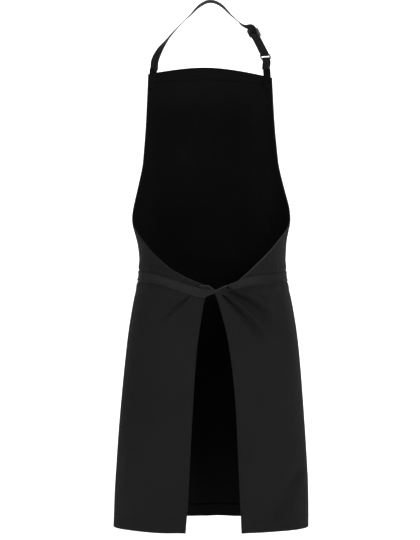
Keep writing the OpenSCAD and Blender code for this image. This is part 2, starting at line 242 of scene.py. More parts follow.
def newMesh(name, points, faces, uv=None):
    # a mesh piece at the origin, its faces turned outwards by the sign of its enclosed volume
    points = np.asarray(points, float).reshape(-1, 3)
    faces = np.asarray(faces, np.int64)
    c = points.mean(0)
    a, b, d = (points[faces[:, k]] - c for k in (0, 1, 2))
    volume = np.einsum("ij,ij->i", a, np.cross(b, d)).sum()
    if faces.shape[1] == 4:
        e = points[faces[:, 3]] - c
        volume += np.einsum("ij,ij->i", a, np.cross(d, e)).sum()
    if volume < 0:
        faces = faces[:, ::-1]
    mesh = bpy.data.meshes.new(name)
    mesh.vertices.add(len(points))
    mesh.vertices.foreach_set("co", points.astype(np.float32).ravel())
    k = faces.shape[1]
    mesh.loops.add(faces.size)
    mesh.loops.foreach_set("vertex_index", faces.ravel().astype(np.int32))
    mesh.polygons.add(len(faces))
    mesh.polygons.foreach_set("loop_start", (np.arange(len(faces)) * k).astype(np.int32))
    mesh.polygons.foreach_set("use_smooth", np.ones(len(faces), bool))
    mesh.update(calc_edges=True)
    mesh.validate()
    if uv is not None:
        layer = mesh.uv_layers.new(name="clothUv")
        index = np.zeros(len(mesh.loops), np.int32)
        mesh.loops.foreach_get("vertex_index", index)
        layer.data.foreach_set("uv", np.asarray(uv, np.float32).reshape(-1, 2)[index].ravel())
    piece = bpy.data.objects.new(name, mesh)
    scene.collection.objects.link(piece)
    return piece


def gridUv(grid):
    # u is the length run across the grid, v the length run along it, both in metres
    across = np.linalg.norm(np.diff(grid, axis=1), axis=2)
    along = np.linalg.norm(np.diff(grid, axis=0), axis=2)
    u = np.concatenate([np.zeros((grid.shape[0], 1)), np.cumsum(across, 1)], 1)
    v = np.concatenate([np.zeros((1, grid.shape[1])), np.cumsum(along, 0)], 0)
    u = u - u[:, u.shape[1] // 2][:, None]
    return np.stack([u, v], 2)


def plyPiece(name, outer, inner):
    # closed cloth: an outer and an inner grid of the same shape, joined round their four edges
    rows, cols = outer.shape[0] - 1, outer.shape[1] - 1
    n = (rows + 1) * (cols + 1)
    at = np.arange(n).reshape(rows + 1, cols + 1)
    a, b, c, d = (g.ravel() for g in (at[:-1, :-1], at[:-1, 1:], at[1:, 1:], at[1:, :-1]))
    sides = []
    for line in (at[0], at[:, -1], at[-1][::-1], at[:, 0][::-1]):
        sides.append(np.stack([line[1:], line[:-1], line[:-1] + n, line[1:] + n], 1))
    faces = np.concatenate(
        [np.stack([a, b, c, d], 1), np.stack([d, c, b, a], 1) + n, *sides]
    )
    uv = gridUv(outer).reshape(-1, 2)
    return newMesh(
        name, np.concatenate([outer.reshape(-1, 3), inner.reshape(-1, 3)]), faces, np.tile(uv, (2, 1))
    )


def sectionAlong(name, points, facing, section, closed=False):
    # a profile carried along a path: point + width direction * section x + facing * section y
    points, facing = np.asarray(points, float), np.asarray(facing, float)
    if closed:
        t = unit(np.roll(points, -1, 0) - np.roll(points, 1, 0))
    else:
        t = unit(np.gradient(points, axis=0))
    f = unit(facing - (facing * t).sum(1, keepdims=True) * t)
    w = np.cross(t, f)
    sx, sy = section[..., 0], section[..., 1]
    if sx.ndim == 1:
        sx, sy = sx[None], sy[None]
    ring = points[:, None] + w[:, None] * sx[..., None] + f[:, None] * sy[..., None]
    n, k = ring.shape[0], ring.shape[1]
    at = np.arange(n * k).reshape(n, k)
    nxt = np.roll(at, -1, 1)
    lo, hi = (at, nxt)
    if closed:
        up, upNext = np.roll(at, -1, 0), np.roll(nxt, -1, 0)
    else:
        lo, hi, up, upNext = at[:-1], nxt[:-1], at[1:], nxt[1:]
    faces = np.stack([lo.ravel(), hi.ravel(), upNext.ravel(), up.ravel()], 1)
    all_ = ring.reshape(-1, 3)
    run = np.concatenate([[0], np.cumsum(np.linalg.norm(np.diff(points, axis=0), axis=1))])
    uv = np.stack([np.broadcast_to(sx, (n, k)), np.broadcast_to(run[:, None], (n, k))], 2)
    uv = uv.reshape(-1, 2)
    if not closed:  # each end is closed by a small fan round its middle
        all_ = np.concatenate([all_, points[:1], points[-1:]])
        uv = np.concatenate([uv, [[0, 0]], [[0, run[-1]]]])
        first = np.stack([np.full(k, n * k), nxt[0], at[0], at[0]], 1)
        last = np.stack([np.full(k, n * k + 1), at[-1], nxt[-1], nxt[-1]], 1)
        tri = np.concatenate([first, last])[:, :3]
        return newMeshMixed(name, all_, faces, tri, uv)
    return newMesh(name, all_, faces, uv)


def newMeshMixed(name, points, quads, tris, uv):
    # as newMesh, for quads with a few triangles
    c = points.mean(0)
    volume = 0.0
    for f in (quads[:, :3], quads[:, [0, 2, 3]], tris):
        a, b, d = (points[f[:, k]] - c for k in (0, 1, 2))
        volume += np.einsum("ij,ij->i", a, np.cross(b, d)).sum()
    if volume < 0:
        quads, tris = quads[:, ::-1], tris[:, ::-1]
    mesh = bpy.data.meshes.new(name)
    mesh.from_pydata(points.tolist(), [], quads.tolist() + tris.tolist())
    mesh.polygons.foreach_set("use_smooth", np.ones(len(mesh.polygons), bool))
    layer = mesh.uv_layers.new(name="clothUv")
    index = np.zeros(len(mesh.loops), np.int32)
    mesh.loops.foreach_get("vertex_index", index)
    layer.data.foreach_set("uv", np.asarray(uv, np.float32)[index].ravel())
    piece = bpy.data.objects.new(name, mesh)
    scene.collection.objects.link(piece)
    return piece


def flatSection(wide, thick, corner=0.35, count=8):
    # a flat band's outline with round edges, as (across, out) pairs
    r = thick * 0.5
    a = np.linspace(-np.pi / 2, np.pi / 2, count)
    right = np.stack([wide / 2 - r * (1 - corner) + r * np.cos(a) * (1 - corner), r * np.sin(a)], 1)
    flatX = np.linspace(wide / 2 - r, -wide / 2 + r, 7)[1:-1]
    top = np.stack([flatX, np.full_like(flatX, r)], 1)
    left = right[::-1] * [-1, 1]
    bottom = np.stack([flatX[::-1], np.full_like(flatX, -r)], 1)
    return np.concatenate([right, top, left, bottom])


# ---- the body that the apron is wrapped round ----

apronShape = {
    "power": 2.2,              # how square the wrapped section is: 2 is an ellipse
    "bibTop": 0.405, "hem": -0.475, "wingTop": 0.097,
    "cornerDrop": 0.0185,      # how much lower the bib's corners are than its middle
    "bibLean": 0.0035,         # the bib's right corner hangs this much lower than its left one
    "sideSeam": 95.0,          # degrees round from the front
    "halfWidth": [(-0.475, 0.185), (-0.386, 0.1815), (-0.234, 0.172), (-0.12, 0.1615), (-0.044, 0.150),
                  (0.005, 0.1395), (0.06, 0.141), (0.108, 0.150), (0.2, 0.151), (0.436, 0.149)],
    "frontReach": [(-0.475, 0.092), (-0.3, 0.101), (-0.12, 0.106), (0, 0.103), (0.108, 0.110),
                   (0.2, 0.114), (0.3, 0.112), (0.436, 0.096)],
    "backReach": [(-0.475, 0.080), (-0.31, 0.086), (-0.12, 0.092), (0, 0.096), (0.108, 0.098),
                  (0.436, 0.098)],
    # sideways lean of the worn apron by height: nothing at the hem and the bib, most at the waist
    "lean": [(-0.475, 0.0), (-0.42, 0.0012), (-0.3, 0.0028), (-0.2, 0.0040), (-0.1, 0.0048), (0.0, 0.0048),
             (0.045, 0.0045), (0.09, 0.0026), (0.15, 0.0022), (0.2, 0.0015), (0.3, 0.0006), (0.436, 0.0)],
    # where the cloth ends by height, in degrees round from the front: the slit, the wing and the bib's side
    "leftEdge": [(-0.475, 149.5), (-0.40, 152.5), (-0.24, 157.5), (-0.13, 162), (-0.06, 168), (-0.042, 170),
                 (-0.03, 172), (-0.018, 174.5), (-0.010, 170), (0.0, 156.5), (0.01, 145.5), (0.02, 136.5),
                 (0.05, 119), (0.08, 105.5), (0.11, 89.5), (0.13, 81.5), (0.16, 73.5), (0.20, 66.5),
                 (0.225, 64), (0.30, 61), (0.436, 61)],
    "rightEdge": [(-0.475, 142.5), (-0.36, 147.5), (-0.24, 152.5), (-0.17, 157), (-0.10, 164), (-0.05, 172),
                  (-0.034, 175), (-0.022, 177.5), (-0.018, 174.5), (-0.013, 168), (-0.008, 160),
                  (-0.003, 153.5), (0.005, 148), (0.02, 139.5), (0.05, 123), (0.08, 108), (0.11, 90.5),
                  (0.13, 82), (0.16, 73.5), (0.20, 66.5), (0.225, 64), (0.30, 61), (0.436, 61)],
}


def freeEdge(z, side=1):
    return curveAt(z, apronShape["rightEdge" if side > 0 else "leftEdge"])


tieShape = {
    "thick": 0.0012, "lift": 0.0009,
    # by degrees round from the front: height of each band's middle, width, thickness and lift off the cloth
    "left": [
             (0, 0.0, 0.0185, 0.0012, 0.0), (60, 0.002, 0.0185, 0.0012, 0.0), (
                 95, 0.0035, 0.0185, 0.0012, 0.0
             ),
             (110, 0.0028, 0.0185, 0.0012, 0.0), (123.5, 0.0004, 0.0185, 0.0012, 0.0),
             (143.5, -0.0116, 0.0183, 0.0012, 0.0), (159.6, -0.0208, 0.0183, 0.0014, 0.0002),
             (166, -0.0240, 0.0178, 0.0018, 0.0006), (171, -0.0248, 0.0155, 0.0022, 0.0010),
             (175, -0.0236, 0.0117, 0.0027, 0.0014), (179, -0.0226, 0.0082, 0.0030, 0.0014),
             (182, -0.0222, 0.0060, 0.0030, 0.0010), (185, -0.0218, 0.0058, 0.0026, 0.0004)],
    "right": [
              (0, 0.0, 0.0185, 0.0012, 0.0), (60, 0.002, 0.0185, 0.0012, 0.0), (
                  95, 0.0027, 0.0185, 0.0012, 0.0
              ),
              (110, 0.0022, 0.0185, 0.0012, 0.0), (125, 0.0006, 0.0183, 0.0012, 0.0),
              (143.5, -0.0038, 0.0178, 0.0012, 0.0), (150, -0.0070, 0.0168, 0.0012, 0.0),
              (155.6, -0.0108, 0.0145, 0.0013, 0.0), (159.5, -0.0122, 0.0090, 0.0014, 0.0),
              (163.5, -0.0120, 0.0030, 0.0012, -0.0006)],
    # the left wing's corner, gathered by the crossing
    "gather": [(163, -0.0100, 0.0030, 0.0010, 0.0), (167, -0.0128, 0.0056, 0.0014, 0.0004),
               (171, -0.0143, 0.0076, 0.0019, 0.0008), (175.5, -0.0146, 0.0078, 0.0022, 0.0010),
               (178.5, -0.0176, 0.0062, 0.0022, 0.0008), (183, -0.0216, 0.0030, 0.0020, 0.0004)],
}


def tieTable(which, column):
    return [(row[0], row[column]) for row in tieShape[which]]


def tieHeight(angle):
    # the wearer's right is a positive angle
    a = np.abs(angle)
    left = curveAt(np.minimum(a, 183), tieTable("left", 1))
    right = curveAt(np.minimum(a, 163), tieTable("right", 1))
    return np.where(angle < 0, left, right)


# Creases: from, by way of, to, as (x, z) on the back, with depth, width and which side it stands on
creases = [
    {
        "path": [(-0.036, -0.030), (-0.062, -0.052), (-0.108, -0.088)], "deep": 0.0058, "wide": 0.0040,
        "ridge": 1.1, "keep": 0.3
    },
    {
        "path": [(0.031, -0.023), (0.078, -0.032), (0.134, -0.104)], "deep": 0.0125, "wide": 0.0090,
        "ridge": 0.6, "keep": 0.6
    },
    {
        "path": [(0.022, -0.026), (0.060, -0.056), (0.126, -0.148)], "deep": 0.0100, "wide": 0.0066,
        "ridge": 0.9, "keep": 0.6
    },
    {
        "path": [(0.030, -0.0130), (0.044, -0.0275), (0.082, -0.0150)], "deep": 0.0075, "wide": 0.0032,
        "ridge": -0.9, "keep": 0.45
    },
    {
        "path": [(0.168, -0.362), (0.142, -0.415), (0.097, -0.468)], "deep": 0.0046, "wide": 0.014,
        "ridge": 0.4, "keep": 0.6
    },
    {
        "path": [(-0.150, -0.32), (-0.158, -0.40), (-0.156, -0.47)], "deep": -0.0050, "wide": 0.017,
        "ridge": 0.5, "keep": 0.5
    },
    {
        "path": [(-0.112, -0.025), (-0.127, -0.12), (-0.118, -0.25)], "deep": 0.0036, "wide": 0.017,
        "ridge": 0.5, "keep": 0.2
    },
    {
        "path": [(0.122, -0.03), (0.130, -0.15), (0.122, -0.28)], "deep": 0.0036, "wide": 0.018,
        "ridge": 0.5, "keep": 0.2
    },
]

# slow waves of the hanging cloth: turns round the body, phase, amount at the hem and the bib
wavesOfCloth = [
    (5, 0.4, 0.0011, 0.0006), (8, 2.1, 0.0013, 0.0004), (13, 4.0, 0.0008, 0.0003), (21, 1.3, 0.0003, 0.0002),
]


def creaseDepth(x, z, crease):
    # across the crease: a valley exp(-d2) with a ridge beside it, d exp(-d2); along it: rises, then fades
    s = np.linspace(0, 1, 36)
    p0, p1, p2 = (np.array(p, float) for p in crease["path"])
    line = np.outer((1 - s) ** 2, p0) + np.outer(2 * s * (1 - s), p1) + np.outer(s * s, p2)
    way = unit(np.gradient(line, axis=0))
    flat = np.stack([x.ravel(), z.ravel()], 1)
    d2 = ((flat[:, None] - line[None]) ** 2).sum(2)
    k = d2.argmin(1)
    off = flat - line[k]
    side = off[:, 0] * way[k, 1] - off[:, 1] * way[k, 0]
    past = (off * way[k]).sum(1)
    along = s[k]
    fade = smooth((along + 0.03) / 0.09) * (1 - smooth((along - crease["keep"]) / (1 - crease["keep"])))
    wide = crease["wide"] * (0.45 + 1.1 * along)
    fade = fade * np.exp(-((past / wide) ** 2))
    d = side / wide
    shape = -np.exp(-d * d) + crease["ridge"] * np.exp(-((d + 1.5) ** 2)) * 0.8
    return (crease["deep"] * fade * shape).reshape(x.shape)


def foldOut(angle, z, base):
    # how far the cloth stands off the smooth body there, in metres
    a = np.radians(angle)
    low, high = smooth((0.02 - z) / 0.45), smooth((z - 0.06) / 0.25)
    out = 0.0009 * smooth(-z / 0.1)
    for turns, phase, hemAmount, bibAmount in wavesOfCloth:
        drift = 1.6 * np.sin(7.0 * z + phase)
        out = out + (hemAmount * low + bibAmount * high) * np.sin(turns * a + phase + drift)
    back = np.cos(a) < -0.02
    # the right wing's tip is lifted over the crossing
    tip = np.exp(-(((base[..., 0] - 0.0150) / 0.0115) ** 2) - (((z + 0.0205) / 0.0085) ** 2))
    out = out + np.where((angle > 90) & (angle < 180), 0.0052 * tip, 0)
    for crease in creases:
        depth = creaseDepth(base[..., 0], base[..., 2], crease)
        out = out + np.where(back, depth, 0)
    # the tie presses the cloth in, and the cloth bulges a little over and under it
    dz = z - tieHeight(angle)
    near = smooth((176 - np.abs(angle)) / 14)
    out = out - 0.0009 * near * np.exp(-((dz / 0.010) ** 2))
    out = out + 0.0014 * near * np.exp(-(((np.abs(dz) - 0.017) / 0.0075) ** 2))
    gather = np.sin(31 * a + 0.7) + 0.7 * np.sin(47 * a + 2.2) + 0.5 * np.sin(73 * a)
    out = out + 0.00035 * gather * np.exp(-(((np.abs(dz) - 0.014) / 0.016) ** 2)) * smooth(np.abs(a) / 0.3)
    return out


def skinPoint(angle, z):
    # superellipse section: r = (|sin/a|^p + |cos/b|^p)^(-1/p), with its outward direction
    a = np.radians(angle)
    s, c = np.sin(a), np.cos(a)
    p = apronShape["power"]
    wide = curveAt(z, apronShape["halfWidth"])
    deep = np.where(c > 0, curveAt(z, apronShape["frontReach"]), curveAt(z, apronShape["backReach"]))
    r = ((np.abs(s) / wide) ** p + (np.abs(c) / deep) ** p) ** (-1 / p)
    lean = curveAt(z, apronShape["lean"]) * smooth(np.abs(angle) / 70)
    point = np.stack([r * s + lean, r * c, z], -1)
    out = np.stack(
        [np.sign(s) * (np.abs(s) * r / wide) ** (p - 1) / wide,
         np.sign(c) * (np.abs(c) * r / deep) ** (p - 1) / deep, np.zeros_like(r)], -1
    )
    return point, unit(out)


def bibDrop(share, z):
    high = np.clip((z - 0.3) / (apronShape["bibTop"] - 0.3), 0, None)
    return (apronShape["cornerDrop"] * share**2 + apronShape["bibLean"] * share) * high**2


def clothPoint(angle, z, inset=0.0, level=False):
    # the wrapped cloth: body section, bib drop unless kept level, folds, then in from its outer face by inset
    angle, z = np.broadcast_arrays(np.asarray(angle, float), np.asarray(z, float))
    share = angle / freeEdge(z)
    zz = z if level else z - bibDrop(share, z)
    point, out = skinPoint(angle, zz)
    return point + out * (foldOut(angle, zz, point) - inset)[..., None]


# where each wing's edge runs into the side seam
heights = np.linspace(0.08, 0.12, 401)
seamTop = {
    side: round(
        float(heights[np.argmax(freeEdge(heights, side) < apronShape["sideSeam"])]), 4
    ) for side in (-1, 1)
}
rowsOfBody = np.unique(np.round(np.concatenate([
    np.arange(-0.475, -0.07, 0.0050), np.arange(-0.07, 0.10, 0.0020), np.arange(-0.027, 0.005, 0.0010),
    np.arange(0.10, 0.405, 0.0048), [0.405], list(seamTop.values())]), 4))

layers = {
    "shell": (0.0, 0.0008), "lining": (0.0011, 0.0016), "hem": (0.00175, 0.0026), "anchor": (0.0034, 0.0046)
}


def clothPiece(name, rows, fromAngle, toAngle, cols, layer, level=False):
    # a panel between two angles at each height, from the layer's outer face to its inner one
    near, far = layers[layer] if isinstance(layer, str) else layer
    rows = np.asarray(rows, float)
    k = np.linspace(0, 1, cols + 1)
    low = np.broadcast_to(fromAngle, rows.shape)
    high = np.broadcast_to(toAngle, rows.shape)
    angle = low[:, None] + (high - low)[:, None] * k[None]
    z = np.broadcast_to(rows[:, None], angle.shape)
    return plyPiece(name, clothPoint(angle, z, near, level), clothPoint(angle, z, far, level))


# ---- materials ----


def nodeTree(material):
    material.use_nodes = True
    tree = material.node_tree
    tree.nodes.clear()
    return tree


def socketsOf(tree, inputs, outputs):
    for name, kind, value in inputs:
        s = tree.interface.new_socket(name, in_out="INPUT", socket_type=kind)
        if value is not None:
            s.default_value = value
    for name, kind in outputs:
        tree.interface.new_socket(name, in_out="OUTPUT", socket_type=kind)


def mathNode(tree, operation, a, b=None, c=None):
    node = tree.nodes.new("ShaderNodeMath")
    node.operation = operation
    for k, value in enumerate((a, b, c)):
        if value is None:
            continue
        if isinstance(value, (int, float)):
            node.inputs[k].default_value = value
        else:
            tree.links.new(value, node.inputs[k])
    return node.outputs[0]


def buildTwillGroup():
    # woven diagonal: the height of warp yarns that pass over two wefts and under two, one step over each row
    tree = bpy.data.node_groups.new("twillWeave", "ShaderNodeTree")
    socketsOf(
        tree,
        [
            ("Place", "NodeSocketVector", None), ("Yarns", "NodeSocketFloat", 1900.0),
            ("Slope", "NodeSocketFloat", 1.0)
        ],
        [("Height", "NodeSocketFloat"), ("Tone", "NodeSocketFloat")],
    )
    gin, gout = tree.nodes.new("NodeGroupInput"), tree.nodes.new("NodeGroupOutput")
    parts = tree.nodes.new("ShaderNodeSeparateXYZ")
    tree.links.new(gin.outputs["Place"], parts.inputs[0])
    u = mathNode(tree, "MULTIPLY", parts.outputs[0], gin.outputs["Yarns"])
    v = mathNode(tree, "MULTIPLY", parts.outputs[1], gin.outputs["Yarns"])
    slanted = mathNode(tree, "MULTIPLY_ADD", v, gin.outputs["Slope"], u)
    rib = mathNode(tree, "SINE", mathNode(tree, "MULTIPLY", slanted, 1.5708))
    weft = mathNode(tree, "SINE", mathNode(tree, "MULTIPLY", v, 3.1416))
    warp = mathNode(tree, "SINE", mathNode(tree, "MULTIPLY", u, 3.1416))
    cross = mathNode(
        tree, "MULTIPLY", mathNode(tree, "MULTIPLY", weft, weft), mathNode(tree, "MULTIPLY", warp, warp)
    )
    height = mathNode(tree, "MULTIPLY_ADD", cross, 0.45, mathNode(tree, "MULTIPLY", rib, 0.5))
    tree.links.new(height, gout.inputs["Height"])
    tree.links.new(mathNode(tree, "MULTIPLY_ADD", rib, 0.5, 0.5), gout.inputs["Tone"])
    return tree


def buildAgeGroup():
    # uneven dye and handling: slow cloudy tone, fine lint, and softer folds of the nap
    tree = bpy.data.node_groups.new("clothAge", "ShaderNodeTree")
    socketsOf(
        tree,
        [
            ("Place", "NodeSocketVector", None), ("Cloud", "NodeSocketFloat", 9.0),
            ("Fine", "NodeSocketFloat", 420.0)
        ],
        [("Tone", "NodeSocketFloat"), ("Lint", "NodeSocketFloat"), ("Height", "NodeSocketFloat")],
    )
    gin, gout = tree.nodes.new("NodeGroupInput"), tree.nodes.new("NodeGroupOutput")
    cloud, fine, pile = (tree.nodes.new("ShaderNodeTexNoise") for _ in range(3))
    for node, scale, detail in ((cloud, "Cloud", 3.0), (fine, "Fine", 2.0)):
        tree.links.new(gin.outputs["Place"], node.inputs["Vector"])
        tree.links.new(gin.outputs[scale], node.inputs["Scale"])
        node.inputs["Detail"].default_value = detail
    tree.links.new(gin.outputs["Place"], pile.inputs["Vector"])
    pile.inputs["Scale"].default_value = 60.0
    pile.inputs["Detail"].default_value = 4.0
    tone = mathNode(
        tree, "MULTIPLY_ADD", fine.outputs["Fac"], 0.35,
        mathNode(tree, "MULTIPLY", cloud.outputs["Fac"], 0.65)
    )
    tree.links.new(tone, gout.inputs["Tone"])
    lint = mathNode(tree, "GREATER_THAN", fine.outputs["Fac"], 0.74)
    tree.links.new(lint, gout.inputs["Lint"])
    tree.links.new(pile.outputs["Fac"], gout.inputs["Height"])
    return tree


twillWeave, clothAge = buildTwillGroup(), buildAgeGroup()


def paintedLightAndShadeMask(tree, place):
    # 0 in the middle, rising over the top 10 cm of the bib, the outer 7 cm of each side and the foot of the skirt:
    # where a positive lift paints light on the cloth and a negative one paints shade skirt
    parts = tree.nodes.new("ShaderNodeSeparateXYZ")
    tree.links.new(place, parts.inputs[0])
    high = tree.nodes.new("ShaderNodeMapRange")
    high.interpolation_type = "SMOOTHSTEP"
    tree.links.new(parts.outputs[2], high.inputs["Value"])
    high.inputs["From Min"].default_value, high.inputs["From Max"].default_value = 0.30, 0.41
    wide = tree.nodes.new("ShaderNodeMapRange")
    wide.interpolation_type = "SMOOTHSTEP"
    tree.links.new(
        mathNode(tree, "ABSOLUTE", mathNode(tree, "ADD", parts.outputs[0], 0.012)), wide.inputs["Value"]
    )
    wide.inputs["From Min"].default_value, wide.inputs["From Max"].default_value = 0.075, 0.15
    foot = tree.nodes.new("ShaderNodeMapRange")
    foot.interpolation_type = "SMOOTHSTEP"
    tree.links.new(parts.outputs[2], foot.inputs["Value"])
    foot.inputs["From Min"].default_value, foot.inputs["From Max"].default_value = -0.30, -0.47
    return mathNode(
        tree, "ADD", mathNode(tree, "MULTIPLY_ADD", foot.outputs[0], 1.8, high.outputs[0]),
        mathNode(tree, "MULTIPLY", wide.outputs[0], 1.1)
    )


def clothMaterial(
    name, dark, light, yarns, slope, weaveDepth, rough, sheen, sheenTint, gloss=0.07, fine=420.0,
    paintedLightAndShade=0.0
):
    material = bpy.data.materials.new(name)
    tree = nodeTree(material)
    out, shader = tree.nodes.new("ShaderNodeOutputMaterial"), tree.nodes.new("ShaderNodeBsdfPrincipled")
    tree.links.new(shader.outputs[0], out.inputs[0])
    uv, place = tree.nodes.new("ShaderNodeUVMap"), tree.nodes.new("ShaderNodeTexCoord")
    uv.uv_map = "clothUv"
    weave, age = tree.nodes.new("ShaderNodeGroup"), tree.nodes.new("ShaderNodeGroup")
    weave.node_tree, age.node_tree = twillWeave, clothAge
    tree.links.new(uv.outputs[0], weave.inputs["Place"])
    weave.inputs["Yarns"].default_value = yarns
    weave.inputs["Slope"].default_value = slope
    tree.links.new(place.outputs["Object"], age.inputs["Place"])
    age.inputs["Fine"].default_value = fine
    tone = mathNode(
        tree, "MULTIPLY_ADD", weave.outputs["Tone"], 0.45, mathNode(
            tree, "MULTIPLY", age.outputs["Tone"], 0.75
        )
    )
    if paintedLightAndShade:  # tone painted on by place to stand in for the light; it is not wear
        tone = mathNode(tree, "MULTIPLY_ADD", paintedLightAndShadeMask(tree, place.outputs["Object"]), paintedLightAndShade, tone)
    ramp = tree.nodes.new("ShaderNodeValToRGB")
    ramp.color_ramp.elements[0].position, ramp.color_ramp.elements[1].position = 0.28, 0.92
    ramp.color_ramp.elements[0].color = (*dark, 1)
    ramp.color_ramp.elements[1].color = (*light, 1)
    tree.links.new(tone, ramp.inputs[0])
    lintMix = tree.nodes.new("ShaderNodeMix")
    lintMix.data_type = "RGBA"
    tree.links.new(mathNode(tree, "MULTIPLY", age.outputs["Lint"], 0.10), lintMix.inputs["Factor"])
    tree.links.new(ramp.outputs[0], lintMix.inputs["A"])
    lintMix.inputs["B"].default_value = (0.12, 0.12, 0.125, 1)
    tree.links.new(lintMix.outputs["Result"], shader.inputs["Base Color"])
    tree.links.new(
        mathNode(tree, "MULTIPLY_ADD", age.outputs["Tone"], 0.14, rough - 0.07), shader.inputs["Roughness"]
    )
    shader.inputs["Sheen Weight"].default_value = sheen
    shader.inputs["Sheen Roughness"].default_value = 0.45
    shader.inputs["Sheen Tint"].default_value = (*sheenTint, 1)
    shader.inputs["Specular IOR Level"].default_value = gloss
    nap = tree.nodes.new("ShaderNodeBump")
    nap.inputs["Distance"].default_value = 0.0006
    nap.inputs["Strength"].default_value = 0.35
    tree.links.new(age.outputs["Height"], nap.inputs["Height"])
    bump = tree.nodes.new("ShaderNodeBump")
    bump.inputs["Distance"].default_value = weaveDepth
    bump.inputs["Strength"].default_value = 0.8
    tree.links.new(weave.outputs["Height"], bump.inputs["Height"])
    tree.links.new(nap.outputs[0], bump.inputs["Normal"])
    tree.links.new(bump.outputs[0], shader.inputs["Normal"])
    return material


def buckleMaterial(name):
    material = bpy.data.materials.new(name)
    tree = nodeTree(material)
    out, shader = tree.nodes.new("ShaderNodeOutputMaterial"), tree.nodes.new("ShaderNodeBsdfPrincipled")
    tree.links.new(shader.outputs[0], out.inputs[0])
    place, noise = tree.nodes.new("ShaderNodeTexCoord"), tree.nodes.new("ShaderNodeTexNoise")
    noise.inputs["Scale"].default_value = 900.0
    noise.inputs["Detail"].default_value = 3.0
    tree.links.new(place.outputs["Object"], noise.inputs["Vector"])
    edge = tree.nodes.new("ShaderNodeNewGeometry")
    wear = mathNode(tree, "MULTIPLY", mathNode(tree, "SUBTRACT", edge.outputs["Pointiness"], 0.52), 9.0)
    wear = mathNode(tree, "MAXIMUM", wear, 0.0)
    ramp = tree.nodes.new("ShaderNodeValToRGB")
    ramp.color_ramp.elements[0].color = (0.008, 0.008, 0.009, 1)
    ramp.color_ramp.elements[1].color = (0.030, 0.030, 0.032, 1)
    tree.links.new(mathNode(tree, "MULTIPLY_ADD", noise.outputs["Fac"], 0.3, wear), ramp.inputs[0])
    tree.links.new(ramp.outputs[0], shader.inputs["Base Color"])
    tree.links.new(
        mathNode(tree, "MULTIPLY_ADD", noise.outputs["Fac"], 0.22, 0.22), shader.inputs["Roughness"]
    )
    bump = tree.nodes.new("ShaderNodeBump")
    bump.inputs["Distance"].default_value = 0.00004
    bump.inputs["Strength"].default_value = 0.6
    tree.links.new(noise.outputs["Fac"], bump.inputs["Height"])
    tree.links.new(bump.outputs[0], shader.inputs["Normal"])
    return material


shellTwill = clothMaterial(
    "charcoalTwill", (0.0043, 0.0043, 0.0044), (0.0096, 0.0096, 0.0098), 1500.0, 1.0, 0.00022, 0.86, 0.03,
    (0.5, 0.5, 0.51)
)
# the tie cloth's last argument paints shade on it: darker over the outer 7 cm of each side
tieTwill = clothMaterial(
    "tieTwill", (0.0072, 0.0072, 0.0073), (0.0160, 0.0160, 0.0163), 1500.0, -1.0, 0.00022, 0.84, 0.03,
    (0.5, 0.5, 0.51), 0.07, 420.0, -0.45
)
# the lining's last argument paints light on it: paler at the bib's top, the outer 7 cm of each side and the foot of the
# skirt
liningBlack = clothMaterial(
    "liningBlack", (0.0009, 0.0009, 0.0009), (0.0036, 0.0036, 0.0036), 2200.0, 0.0, 0.00012, 0.92, 0.008,
    (0.4, 0.4, 0.4), 0.02, 420.0, 0.45
)
# a paler cloth for the rolled edges: a painted highlight along the edge where it turns
paintedEdgeHighlight = clothMaterial(
    "paintedEdgeHighlight", (0.014, 0.014, 0.0138), (0.031, 0.0305, 0.0295), 1500.0, 0.0, 0.00018, 0.8, 0.08,
    (0.7, 0.7, 0.70)
)
strapWebbing = clothMaterial(
    "strapWebbing", (0.0030, 0.0030, 0.0031), (0.0085, 0.0085, 0.0088), 800.0, 0.0, 0.0004, 0.62, 0.05,
    (0.5, 0.5, 0.52), 0.08, 700.0
)
seamThread = clothMaterial(
    "seamThread", (0.0046, 0.0046, 0.0047), (0.0104, 0.0104, 0.0106), 5000.0, 1.0, 0.00005, 0.55, 0.03,
    (0.5, 0.5, 0.5), 0.1, 900.0
)
insideThread = clothMaterial(
    "insideThread", (0.0016, 0.0016, 0.0016), (0.0045, 0.0045, 0.0045), 5000.0, 1.0, 0.00005, 0.6, 0.01,
    (0.5, 0.5, 0.5), 0.05, 900.0
)
buckleBlack = buckleMaterial("buckleBlack")


def dress(piece, material, slotName=None):
    piece.data.materials.clear()
    piece.data.materials.append(material)
    if slotName:
        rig.slot(piece, slotName)
    return piece


# ---- the flap fold: a line from the tie crossing down to the side of the hem ----

flapFold = {
    "top": (0.02252, -0.09379, -0.05), "foot": (0.11726, -0.0650, -0.475), "start": -0.002, "end": 0.032
}


def foldBand(side):
    # where the cloth starts and ends turning with the flap, as two points across the fold
    top = np.array(flapFold["top"]) * [side, 1, 1]
    foot = np.array(flapFold["foot"]) * [side, 1, 1]
    line = unit(top - foot)
    inward = np.array([-side, 0.0, 0.0])
    inward = unit(inward - (inward @ line) * line)
    middle = (top + foot) / 2
    return middle + inward * flapFold["start"], middle + inward * flapFold["end"]


def rideFlap(piece, side):
    start, end = foldBand(side)
    body = "right_flap" if side > 0 else "left_flap"
    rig.blend(piece, "apron", body, tuple(start), tuple(end))
    return piece


# ---- shell, lining and hems ----

panelSetup = {"frontCols": 104, "backCols": 72, "hemWide": 0.024, "bibStitch": 0.0205, "footStitch": 0.021}

sideSeam = apronShape["sideSeam"]
frontEnds = {}
for side in (-1, 1):
    frontEnds[side] = side * np.minimum(freeEdge(rowsOfBody, side), sideSeam)
wingRows = rowsOfBody[rowsOfBody <= apronShape["wingTop"]]

frontShell = dress(
    clothPiece("frontShell", rowsOfBody, frontEnds[-1], frontEnds[1], panelSetup["frontCols"], "shell"),
    shellTwill, "shell_fabric"
)
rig.ride(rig.replaces(frontShell, "front_panel"), "apron")
frontLining = dress(
    clothPiece("frontLining", rowsOfBody, frontEnds[-1], frontEnds[1], panelSetup["frontCols"], "lining"),
    liningBlack, "lining_fabric"
)
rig.ride(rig.replaces(frontLining, "front_lining"), "apron")

